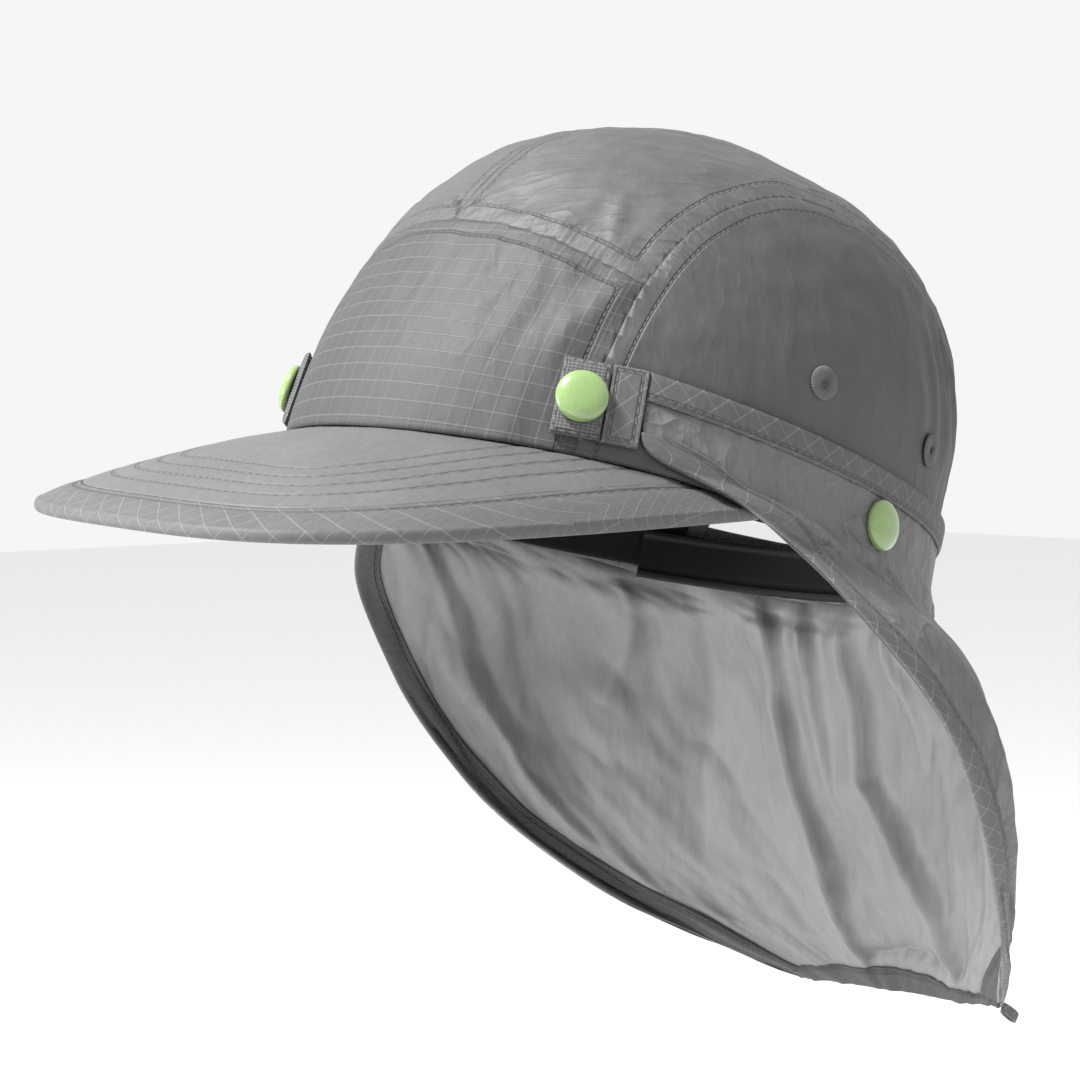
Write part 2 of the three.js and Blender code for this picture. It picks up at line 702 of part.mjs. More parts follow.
function addSnaps() {
  const round = webbingAngle();
  const rise = riseAt(round, TAB_CENTRE_HEIGHT);
  const off = 3 * GAP + WEBBING_WALL;
  const place = facing(crownPoint(round, rise, off), crownNormal(round, rise));
  const front = closed(capGeometry().applyMatrix4(place));
  addPair(worn, "snap_front", front, capLacquer);
  const normal = flapNormal(SIDE_SNAP_ACROSS, SIDE_SNAP_DOWN);
  const seat = flapPoint(SIDE_SNAP_ACROSS, SIDE_SNAP_DOWN, FLAP_WALL / 2 + 2 * GAP);
  const side = closed(capGeometry().applyMatrix4(facing(seat, normal)));
  addPair(hat, "snap_side", side, capLacquer);
}

function addEyelets() {
  const hole = EYELET_HOLE / 2;
  const rim = EYELET_DIAMETER / 2;
  const profile = [
    [hole, 0],
    [rim, 0],
    [rim, 0.5 * EYELET_WALL],
    [(hole + rim) / 2, EYELET_WALL],
    [hole, 0.5 * EYELET_WALL],
    [hole, 0],
  ].map(([out, up]) => new THREE.Vector2(out, up));
  const places = {
    side: [SIDE_EYELET_ANGLE, SIDE_EYELET_HEIGHT],
    rear: [REAR_EYELET_ANGLE, REAR_EYELET_HEIGHT],
  };
  for (const [name, [angle, height]] of Object.entries(places)) {
    const rise = riseAt(radians(angle), height);
    const seat = facing(crownPoint(radians(angle), rise, GAP), crownNormal(radians(angle), rise));
    const ring = new THREE.LatheGeometry(profile, ROUND_STEPS).rotateX(Math.PI / 2).applyMatrix4(seat);
    addPair(worn, "eyelet_" + name, closed(ring), shellFabric);
  }
}

// One section of the flap at a share of the way from the middle of its back to its side edge
function sectionOnCrown(row, share) {
  const edge = radians(row.edgeAngle * TAB_ANGLE);
  const round = Math.PI + (edge - Math.PI) * share;
  const back = row.backHeight * FLAP_DROP;
  const height = back + (row.edgeHeight * TAB_HEIGHT - back) * share;
  const off = FLAP_STANDOFF * (row.backOff + (row.edgeOff - row.backOff) * share ** 3);
  return onCrown(round, height, off).applyMatrix4(worn.matrix);
}

// The top section runs along the strip's lower edge
function topSection(across) {
  const start = tabEnd() + angleFor(GAP, tabEnd(), STRIP_FRONT_HEIGHT);
  const round = Math.PI + (start - Math.PI) * across;
  const height = stripHeight(round) - STRIP_WIDTH / 2 - GAP;
  return onCrown(round, height, FLAP_STANDOFF).applyMatrix4(worn.matrix);
}

// A hanging section is a curve from the side edge round to the middle of the back
function hangingSection(row, across) {
  const edge = [row.out * FLAP_SPREAD, row.aft * FLAP_BACK, -row.down * FLAP_DROP];
  const back = [0, row.back * FLAP_BACK, -row.backDown * FLAP_DROP];
  const along = (share) => edge.map((value, k) => value + share * (back[k] - value));
  const first = along(row.side);
  const second = along(1 - row.side / 2);
  first[0] = edge[0];
  second[0] = row.rear * edge[0];
  second[1] = back[1];
  const corners = [edge, first, second, back].map((corner) => new THREE.Vector3(...corner));
  return new THREE.CubicBezierCurve3(...corners).getPoint(1 - across);
}

// The flap's sections from the middle of its back to its side edge
const flapColumns = spread(0, 1, FLAP_SAMPLES).map((across) => [
  topSection(across),
  ...FLAP_ON_CROWN.map((row) => sectionOnCrown(row, across)),
  ...FLAP_HANGING.map((row) => hangingSection(row, across)),
]);

// The flap without its folds, at shares across and down
function plainFlap(across, down) {
  const beside = Math.min(Math.abs(across), 1) * FLAP_SAMPLES;
  const first = THREE.MathUtils.clamp(Math.floor(beside) - 1, 0, FLAP_SAMPLES - 3);
  const near = flapColumns.slice(first, first + 4);
  const place = down * (near[0].length - 1);
  const [x, y, z] = ["x", "y", "z"].map((axis) => {
    const level = near.map((points) => {
      const values = points.map((point) => point[axis]);
      return smoothColumn(values, place);
    });
    return smoothColumn(level, beside - first);
  });
  return new THREE.Vector3(x * Math.sign(across), y, z);
}

// Which way the flap's outside faces
function flapNormal(across, down) {
  const step = 0.004;
  const low = Math.min(down, 1 - step);
  const over = plainFlap(across + step, low).sub(plainFlap(across - step, low));
  const fall = plainFlap(across, low + step).sub(plainFlap(across, Math.max(low - step, 0)));
  return over.cross(fall).normalize();
}

// How far a fold pushes the flap out at a place: it runs from its top to its foot and fades at its ends
function foldDepth(fold, across, down) {
  const along = (down - fold.top) / (fold.foot - fold.top);
  if (along <= 0 || along >= 1) {
    return 0;
  }
  const middle = fold.acrossTop + (fold.acrossFoot - fold.acrossTop) * along;
  const away = (across - middle) / fold.width;
  return fold.depth * FLAP_FOLD_DEPTH * Math.exp(-away * away) * Math.sin(Math.PI * along);
}

function flapPoint(across, down, off = 0) {
  const folds = FLAP_FOLDS.reduce((sum, fold) => sum + foldDepth(fold, across, down), 0);
  return plainFlap(across, down).addScaledVector(flapNormal(across, down), folds + off);
}

const flapSide = spread(0, 1, 2 * FLAP_SAMPLES).map((down) => plainFlap(1, down));
const flapFoot = spread(-1, 1, 2 * FLAP_SAMPLES).map((across) => plainFlap(across, 1));

// The shares across and down of a place on the flap that keeps a distance in from its edges
function flapShares(inset, across, share) {
  const sideInset = (down) => shareBefore((place) => plainFlap(place, down), flapSide, inset);
  const foot = across * sideInset(1);
  const down = share * shareBefore((place) => plainFlap(foot, place), flapFoot, inset);
  return [across * sideInset(down), down];
}

function addFlap() {
  const inset = FLAP_BINDING_WIDTH + 2 * GAP;
  const face = (off) =>
    spread(0, 1, FLAP_STEPS_DOWN).map((share) =>
      spread(-1, 1, FLAP_STEPS_ACROSS).map((across) => flapPoint(...flapShares(inset, across, share), off)),
    );
  addPiece(hat, "neck_flap", gridSolid(face(FLAP_WALL / 2), face(-FLAP_WALL / 2)), flapFabric);
}

// The binding runs down one side edge, along the bottom and up the other side
function addFlapBinding() {
  const sides = spread(0, 1, FLAP_STEPS_DOWN).slice(0, -1);
  const stations = [
    ...sides.map((share) => [-1, share]),
    ...spread(-1, 1, FLAP_STEPS_ACROSS).map((across) => [across, 1]),
    ...sides.reverse().map((share) => [1, share]),
  ];
  const face = (off) =>
    [0, 0.5, 1].map((share) =>
      stations.map(([across, down]) => {
        const inner = flapShares(FLAP_BINDING_WIDTH, across, down);
        const at = inner.map((value, k) => value + share * ([across, down][k] - value));
        return flapPoint(...at, off);
      }),
    );
  const half = FLAP_BINDING_WALL / 2;
  addPiece(hat, "flap_edge_binding", gridSolid(face(half), face(-half)), bindingFabric);
}

function addLoop() {
  const corner = flapPoint(1, 1);
  const inner = flapPoint(...flapShares(FLAP_BINDING_WIDTH, 1, 1));
  const along = corner.clone().sub(flapPoint(1, 1 - 1 / FLAP_SAMPLES)).normalize();
  const away = corner.clone().sub(inner).normalize().add(along).normalize();
  const outer = LOOP_LENGTH / 2;
  const profile = [
    [outer - LOOP_TAPE_WALL, -LOOP_TAPE_WIDTH / 2],
    [outer, -LOOP_TAPE_WIDTH / 2],
    [outer, LOOP_TAPE_WIDTH / 2],
    [outer - LOOP_TAPE_WALL, LOOP_TAPE_WIDTH / 2],
    [outer - LOOP_TAPE_WALL, -LOOP_TAPE_WIDTH / 2],
  ].map(([out, up]) => new THREE.Vector2(out, up));
  const ring = new THREE.LatheGeometry(profile, ROUND_STEPS).scale(LOOP_BREADTH / LOOP_LENGTH, 1, 1);
  const seat = corner.addScaledVector(away, outer + FLAP_BINDING_WALL / 2);
  const turn = new THREE.Matrix4().makeRotationX(-Math.PI / 2);
  const place = turnedTo(seat, away).multiply(turn);
  addPiece(hat, "flap_loop", closed(ring.applyMatrix4(place)), bindingFabric);
}

// The placement whose local Y points along a direction
function turnedTo(point, direction) {
  const turn = new THREE.Quaternion().setFromUnitVectors(new THREE.Vector3(0, 1, 0), direction);
  return new THREE.Matrix4().compose(point, turn, new THREE.Vector3(1, 1, 1));
}

addPanels();
addVisor();
addSweatband();
addStraps();
addStrip();
addTabs();
addSnaps();
addEyelets();
addFlap();
addFlapBinding();
addLoop();
export default hat;
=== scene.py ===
"""A flap sun hat: camp cap with a curved visor and a neck flap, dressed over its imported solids."""
import logging
import math
from dataclasses import dataclass
from enum import Enum
from typing import Callable

import bmesh
import bpy
import numpy as np
from mathutils import Matrix, Vector, noise


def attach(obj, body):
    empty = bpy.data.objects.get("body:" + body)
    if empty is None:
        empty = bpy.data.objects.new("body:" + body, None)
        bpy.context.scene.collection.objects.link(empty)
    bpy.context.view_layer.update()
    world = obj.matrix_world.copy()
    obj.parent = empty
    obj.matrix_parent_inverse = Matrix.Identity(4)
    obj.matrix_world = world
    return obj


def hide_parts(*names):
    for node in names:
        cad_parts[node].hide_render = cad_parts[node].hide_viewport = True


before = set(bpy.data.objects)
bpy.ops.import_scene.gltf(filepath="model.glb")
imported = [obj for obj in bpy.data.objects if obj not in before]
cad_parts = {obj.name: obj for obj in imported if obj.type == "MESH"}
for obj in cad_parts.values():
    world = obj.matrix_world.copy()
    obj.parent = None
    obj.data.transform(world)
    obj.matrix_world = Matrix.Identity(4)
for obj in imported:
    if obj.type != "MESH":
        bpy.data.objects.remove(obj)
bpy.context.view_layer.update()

log = logging.getLogger("sun_hat")
MM = 0.001
STRAIGHT = Matrix.Scale(MM, 4)
EVEN = (1.0, 1.0, 1.0)
FAR = 50.0  # millimetres from an edge where no row of stitches runs
Grid = np.ndarray


class Face(Enum):
    """Where a sheet's wall lies: half on each side of the sheet, or inside it."""

    MIDDLE = 0
    INSIDE = -1


# Shader maths


def sign(operation: str, swapped: bool = False) -> Callable:
    """The method behind an arithmetic sign.

    Args:
        operation: the Math node's operation.
        swapped: whether the other value comes first.

    Returns:
        The method.
    """

    def method(self: "Wire", other: object) -> "Wire":
        """Adds the Math node."""
        return self.maths(operation, *((other, self) if swapped else (self, other)))

    return method


class Wire:
    """A socket's output, with arithmetic that adds Math nodes."""

    __add__ = __radd__ = sign("ADD")
    __sub__ = sign("SUBTRACT")
    __rsub__ = sign("SUBTRACT", True)
    __mul__ = __rmul__ = sign("MULTIPLY")
    __truediv__ = sign("DIVIDE")

    def __init__(self, paint: "Paint", socket: bpy.types.NodeSocket) -> None:
        """Wraps a socket of a material."""
        self.paint = paint
        self.socket = socket

    def maths(self, operation: str, *values: object) -> "Wire":
        """Adds one Math node on these values."""
        return self.paint.node("ShaderNodeMath", {"operation": operation}, list(values))

    def fraction(self) -> "Wire":
        """The part after the point."""
        return self.maths("FRACT", self)

    def absolute(self) -> "Wire":
        """Without its sign."""
        return self.maths("ABSOLUTE", self)

    def power(self, exponent: float) -> "Wire":
        """Raised to a power."""
        return self.maths("POWER", self, exponent)

    def ramp(self, low: float, high: float) -> "Wire":
        """0 at low, 1 at high, clamped between."""
        return self.paint.node("ShaderNodeMapRange", {"clamp": True}, [self, low, high, 0.0, 1.0])


class Paint:
    """Builds one material's nodes."""

    def __init__(self, name: str) -> None:
        """Starts a material with its shader."""
        self.material = bpy.data.materials.new(name)
        self.material.use_nodes = True
        self.tree = self.material.node_tree
        self.shader = self.tree.nodes["Principled BSDF"]

    def node(self, kind: str, settings: dict, inputs: object, output: object = 0) -> Wire:
        """Adds any node.

        Args:
            kind: the node's type.
            settings: attributes set before the inputs.
            inputs: socket values or wires, as a list or by name.
            output: the output's index or name.

        Returns:
            The chosen output.
        """
        made = self.tree.nodes.new(kind)
        for key, value in settings.items():
            setattr(made, key, value)
        pairs = inputs.items() if isinstance(inputs, dict) else enumerate(inputs)
        for key, value in pairs:
            self.join(value, made.inputs[key])
        return Wire(self, made.outputs[output])

    def join(self, value: object, socket: bpy.types.NodeSocket) -> None:
        """Links a wire to a socket, or sets its number."""
        if isinstance(value, Wire):
            self.tree.links.new(value.socket, socket)
        else:
            socket.default_value = value

    def place(self, stretch: tuple = EVEN, turn: float = 0.0) -> Wire:
        """Object coordinates, turned about Z and then stretched."""
        base = self.node("ShaderNodeTexCoord", {}, [], "Object")
        values = {"Vector": base, "Rotation": (0.0, 0.0, math.radians(turn)), "Scale": stretch}
        return self.node("ShaderNodeMapping", {"vector_type": "TEXTURE"}, values)

    def flat(self, layer: str) -> tuple[Wire, Wire]:
        """The two numbers of a UV map, in millimetres."""
        chart = self.node("ShaderNodeUVMap", {"uv_map": layer}, [])
        split = self.node("ShaderNodeSeparateXYZ", {}, [chart])
        return split, Wire(self, split.socket.node.outputs[1])

    def grain(self, scale: float, detail: float = 3.0, stretch: tuple = EVEN, turn: float = 0.0) -> Wire:
        """A noise over the surface, scale in bumps a metre."""
        values = {"Vector": self.place(stretch, turn), "Scale": scale, "Detail": detail}
        return self.node("ShaderNodeTexNoise", {}, values)

    def creases(self, scale: float, stretch: tuple = EVEN, turn: float = 0.0) -> Wire:
        """Sharp raised creases, scale in bumps a metre."""
        waves = self.grain(scale, 2.5, stretch, turn)
        return 1.0 - (waves - 0.5).absolute().ramp(0.0, 0.16).power(0.7)

    def blend(self, factor: Wire, first: tuple, second: object) -> Wire:
        """Two colours mixed."""
        return self.node("ShaderNodeMix", {"data_type": "RGBA"}, {0: factor, 6: first, 7: second}, 2)

    def bump(self, height: Wire) -> None:
        """Feeds a height in millimetres to the normal."""
        raised = self.node("ShaderNodeBump", {}, {"Strength": 1.0, "Distance": 1.0, "Height": height * MM})
        self.join(raised, self.shader.inputs["Normal"])

    def stitches(self, rows: tuple, pitch: float) -> tuple[Wire, Wire]:
        """Sewn rows along a seam or edge.

        Args:
            rows: their distances from the seam, in millimetres.
            pitch: the length of a stitch.

        Returns:
            The thread, and the dent that it lies in.
        """
        along, away = self.flat("seam")
        dash = 1.0 - ((along / pitch).fraction() - 0.5).absolute().ramp(0.26, 0.36)
        gaps = [(away - row).absolute() for row in rows]
        thread = sum(1.0 - gap.ramp(0.16, 0.36) for gap in gaps)
        dent = sum(1.0 - gap.ramp(0.3, 0.75) for gap in gaps)
        return thread * dash, dent


def rgb(level: float, tint: tuple = (1.0, 1.0, 1.02)) -> tuple:
    """A near-grey colour from one linear level."""
    return (level * tint[0], level * tint[1], level * tint[2], 1.0)


@dataclass(frozen=True)
class Nylon:
    """Crinkled nylon cloth, plain or with a ripstop grid, and with its rows of stitching."""

    name: str
    level: float
    crinkle: float = 0.22
    stretch: tuple = EVEN
    turn: float = 0.0
    squares: tuple = (0.0, 0.0)
    slant: bool = False
    lines: float = 0.42
    thick: float = 0.022
    rows: tuple = ()
    stitch: float = 2.6
    rough: float = 0.6
    thread: float = 1.25
    # pucker sets both how high the cloth puckers by the stitches and how dark the shadow painted in its hollows is
    pucker: float = 0.5

    def ripstop(self, p: Paint, colour: Wire, height: Wire) -> tuple[Wire, Wire]:
        """Adds the weave's raised grid to a colour and a height.

        Args:
            p: the material's nodes.
            colour: the plain cloth's.
            height: the plain cloth's.

        Returns:
            The new colour and height.
        """
        u, v = p.flat("cloth")
        if self.slant:
            u, v = (u + v) * math.sqrt(0.5), (v - u) * math.sqrt(0.5)
        lines = []
        for place, square, outer, inner in ((v, self.squares[1], 2.0, 1.0), (u, self.squares[0], 1.7, 0.8)):
            middle = ((place / square).fraction() - 0.5).absolute()
            lines.append(middle.ramp(0.5 - outer * self.thick, 0.5 - inner * self.thick))
        ribs = lines[0] + lines[1] * (1.0 if self.slant else 0.6)
        colour = p.blend((ribs * self.lines).ramp(0.0, 1.0), colour, rgb(min(self.level * 2.3, 0.9)))
        return colour, height + ribs * 0.06

    def sewn(self, p: Paint, colour: Wire, height: Wire) -> tuple[Wire, Wire]:
        """Adds the rows of stitching, and the cloth that they draw together, to a colour and a height, with painted
        shade in the puckers' hollows and in the stitches' dents.

        Args:
            p: the material's nodes.
            colour: the unsewn cloth's.
            height: the unsewn cloth's.

        Returns:
            The new colour and height.
        """
        thread, dent = p.stitches(self.rows, self.stitch)
        along, away = p.flat("seam")
        spot = p.node("ShaderNodeCombineXYZ", {}, [along * 0.55, away * 0.09, 0.0])
        pull = p.node("ShaderNodeTexNoise", {}, {"Vector": spot, "Scale": 1.0, "Detail": 2.0})
        near = 1.0 - away.ramp(max(self.rows) + 0.5, max(self.rows) + 5.0)
        # painted shadow: the cloth darkened where the puckers dip, near the rows
        shadow = (1.0 - pull.ramp(0.35, 0.5)) * near * (0.6 * self.pucker)
        # painted shade in the dents that the threads lie in; the thread's lighter colour is its own
        for factor, level in ((shadow, 0.5), (dent * 0.55, 0.3), (thread * 0.85, self.thread)):
            colour = p.blend(factor, colour, rgb(self.level * level))
        return colour, height + thread * 0.22 - dent * 0.3 + pull * near * self.pucker

    def material(self) -> bpy.types.Material:
        """Makes the cloth's material."""
        p = Paint(self.name)
        folds, small = (p.creases(scale, self.stretch, self.turn) for scale in (62.0, 150.0))
        soft = p.grain(38.0, 3.0, self.stretch, self.turn)
        streak = p.grain(520.0, 3.0, (1.0, 1.0, 5.0))
        threads = p.grain(2600.0, 1.0)
        shade = soft * 0.4 + streak * 0.4 + threads * 0.2
        colour = p.blend(shade.ramp(0.32, 0.7), rgb(self.level * 0.82), rgb(self.level * 1.16))
        height = (folds + small * 0.4 + soft * 1.6) * self.crinkle + streak * 0.06 + threads * 0.02
        if self.squares[0] > 0:
            colour, height = self.ripstop(p, colour, height)
        if self.rows:
            colour, height = self.sewn(p, colour, height)
        p.join(colour, p.shader.inputs["Base Color"])
        p.join(streak * 0.16 + (self.rough - 0.08), p.shader.inputs["Roughness"])
        p.bump(height)
        return p.material


@dataclass(frozen=True)
class Plain:
    """A moulded or knitted finish: plastic, lacquer or terry."""

    name: str
    colour: tuple
    rough: float
    coat: float = 0.0
    pile: float = 0.02
    scale: float = 900.0
    shine: float = 0.15

    def material(self) -> bpy.types.Material:
        """Makes the material."""
        p = Paint(self.name)
        fine = p.grain(self.scale, 4.0)
        broad = p.grain(60.0, 2.0)
        low = tuple(0.85 * c for c in self.colour[:3]) + (1.0,)
        p.join(p.blend((fine * 0.5 + broad * 0.5).ramp(0.35, 0.65), low, self.colour), p.shader.inputs["Base Color"])
        p.join(broad * 0.14 + (self.rough - 0.05), p.shader.inputs["Roughness"])
        p.shader.inputs["Coat Weight"].default_value = self.coat
        p.shader.inputs["Specular IOR Level"].default_value = self.shine
        p.bump(fine * self.pile)
        return p.material


# Numbers and sheets


def smooth_column(values: Grid, place: Grid) -> Grid:
    """A smooth value through a table's rows.

    Args:
        values: the table.
        place: where to read it, between 0 and the last row.

    Returns:
        The values there.
    """
    last = len(values) - 1
    at = np.clip(place, 0, last)
    row = np.minimum(at.astype(int), last - 1)
    t = at - row
    start = np.where(row > 0, 0.5, 1.0)
    stop = np.where(row + 2 <= last, 0.5, 1.0)
    if values.ndim > 1:
        t, start, stop = t[..., None], start[..., None], stop[..., None]
    a, b = values[row], values[row + 1]
    first = (b - values[np.maximum(row - 1, 0)]) * start
    second = (values[np.minimum(row + 2, last)] - a) * stop
    t2, t3 = t * t, t * t * t
    return (2 * t3 - 3 * t2 + 1) * a + (t3 - 2 * t2 + t) * first + (3 * t2 - 2 * t3) * b + (t3 - t2) * second


def ripple(points: Grid, size: float, seed: float = 0.0, stretch: tuple = EVEN) -> Grid:
    """Smooth noise of one feature size in millimetres over a grid of points."""
    flat = points.reshape(-1, 3) * np.array(stretch) / size + seed
    return np.array([noise.noise(Vector(row)) for row in flat]).reshape(points.shape[:-1])


def unit(vectors: Grid) -> Grid:
    """Vectors brought to length 1."""
    return vectors / np.maximum(np.linalg.norm(vectors, axis=-1, keepdims=True), 1e-9)


def facing(points: Grid) -> Grid:
    """The unit normals of a grid, from its columns and rows."""
    return unit(np.cross(np.gradient(points, axis=1), np.gradient(points, axis=0)))


def run_length(points: Grid, axis: int) -> Grid:
    """Millimetres run along one axis of a grid."""
    steps = np.linalg.norm(np.diff(points, axis=axis), axis=-1)
    zero = np.zeros_like(np.take(steps, [0], axis=axis))
    return np.concatenate([zero, np.cumsum(steps, axis=axis)], axis=axis)


def soften(grid: Grid, reach: int) -> Grid:
    """A grid of vectors averaged along its rows, with this many columns on each side."""
    wide = np.pad(grid, ((0, 0), (reach, reach), (0, 0)), mode="edge")
    parts = [wide[:, k : k + grid.shape[1]] for k in range(2 * reach + 1)]
    return sum(parts) / len(parts)


def project(flat: Grid, line: Grid) -> tuple[Grid, Grid]:
    """Where points come nearest to each stretch of a polyline.

    Args:
        flat: the points, one to a row.
        line: the polyline's points.

    Returns:
        The share along each stretch, and the distance to it.
    """
    start, span = line[None, :-1], np.diff(line, axis=0)[None]
    share = np.clip(((flat - start) * span).sum(-1) / (span**2).sum(-1), 0, 1)
    return share, np.linalg.norm(flat - start - share[..., None] * span, axis=-1)


def away_from(points: Grid, line: Grid) -> Grid:
    """Each point's distance to a polyline."""
    return project(points.reshape(-1, 1, 3), line)[1].min(axis=1).reshape(points.shape[:-1])


def halve(test: Callable, low: Grid, high: Grid, steps: int) -> Grid:
    """Closes in on where a test stops being true.

    Args:
        test: tells at which values it is true.
        low: values where it is true.
        high: values where it isn't.
        steps: how often the span is halved.

    Returns:
        The last values found true.
    """
    for _ in range(steps):
        middle = (low + high) / 2
        true = test(middle)
        low, high = np.where(true, middle, low), np.where(true, high, middle)
    return low


def short_of(point: Callable, line: Grid, distance: float, steps: int, size: Grid) -> Grid:
    """The share of a way at which a distance to a line is left.

    Args:
        point: gives the points at shares of the way.
        line: a polyline at its end.
        distance: what is left.
        steps: how often the span is halved.
        size: a grid with one number for each way.

    Returns:
        The shares.
    """
    far = lambda share: away_from(point(share), line) > distance
    return halve(far, np.zeros_like(size), np.ones_like(size), steps)


def charts(across: Grid, up: Grid, along: Grid, away: Grid) -> dict:
    """The two UV maps in millimetres: over the cloth, and along and away from its seam or edge."""
    pairs = {"cloth": (across, up), "seam": (along, away)}
    return {name: np.stack(np.broadcast_arrays(*pair), -1) for name, pair in pairs.items()}


def weave(points: Grid, maps: dict) -> bmesh.types.BMesh:
    """Lays a bmesh grid on a grid of points.

    Args:
        points: rows by columns by 3, in millimetres.
        maps: UV map names to rows by columns by 2 numbers.

    Returns:
        The new bmesh, its faces turned as columns cross rows.
    """
    rows, columns = points.shape[:2]
    bm = bmesh.new()
    bmesh.ops.create_grid(bm, x_segments=columns - 1, y_segments=rows - 1, size=0.5)
    layers = {name: bm.loops.layers.uv.new(name) for name in maps}
    spot = {v: (round((v.co.y + 0.5) * (rows - 1)), round((v.co.x + 0.5) * (columns - 1))) for v in bm.verts}
    for face in bm.faces:
        for loop in face.loops:
            for name, layer in layers.items():
                loop[layer].uv = maps[name][spot[loop.vert]]
    for v, (i, j) in spot.items():
        v.co = Vector(points[i, j])
    return bm


def seal(bm: bmesh.types.BMesh) -> None:
    """Welds doubles, fills the open ends and turns the faces out."""
    bmesh.ops.remove_doubles(bm, verts=bm.verts[:], dist=0.01)
    ends = [e for e in bm.edges if e.is_boundary]
    if ends:
        bmesh.ops.holes_fill(bm, edges=ends, sides=0)
    bmesh.ops.recalc_face_normals(bm, faces=bm.faces[:])


def skin(points: Grid, maps: dict) -> bmesh.types.BMesh:
    """Weaves a closed skin and seals it."""
    bm = weave(points, maps)
    seal(bm)
    return bm


def stand(bm: bmesh.types.BMesh, seat: Vector, normal: Vector) -> None:
    """Stands a mesh on a seat, its +Z along the normal."""
    move = Matrix.Translation(seat) @ normal.to_track_quat("Z", "Y").to_matrix().to_4x4()
    bmesh.ops.transform(bm, matrix=move, verts=bm.verts[:])


def put(name: str, data: bpy.types.ID) -> bpy.types.Object:
    """Adds an object to the scene."""
    made = bpy.data.objects.new(name, data)
    bpy.context.scene.collection.objects.link(made)
    return made


def piece(name: str, bm: bmesh.types.BMesh, move: Matrix, finishes: list, node: str) -> bpy.types.Object:
    """Makes a finished object that stands for a CAD node.

    Args:
        name: the piece's name.
        bm: its mesh in millimetres, freed here.
        move: from the mesh's frame to the hat's, in metres.
        finishes: its finishes.
        node: the CAD node that it replaces.

    Returns:
        The object.
    """
    bmesh.ops.transform(bm, matrix=move, verts=bm.verts[:])
    for face in bm.faces:
        face.smooth = True
    mesh = bpy.data.meshes.new(name)
    bm.to_mesh(mesh)
    bm.free()
    made = put(name, mesh)
    for finish in finishes:
        mesh.materials.append(finish.material())
    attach(made, "root")
    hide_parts(node)
    log.info("%s: %d faces", name, len(mesh.polygons))
    return made


def wall(made: bpy.types.Object, thickness: float, side: Face = Face.INSIDE, inner_slot: int = 0) -> None:
    """Gives a sheet its wall, in millimetres, with the inner face in the finish that many slots on."""
    solid = made.modifiers.new("wall", "SOLIDIFY")
    solid.thickness = thickness * MM
    solid.offset = side.value
    solid.material_offset = inner_slot


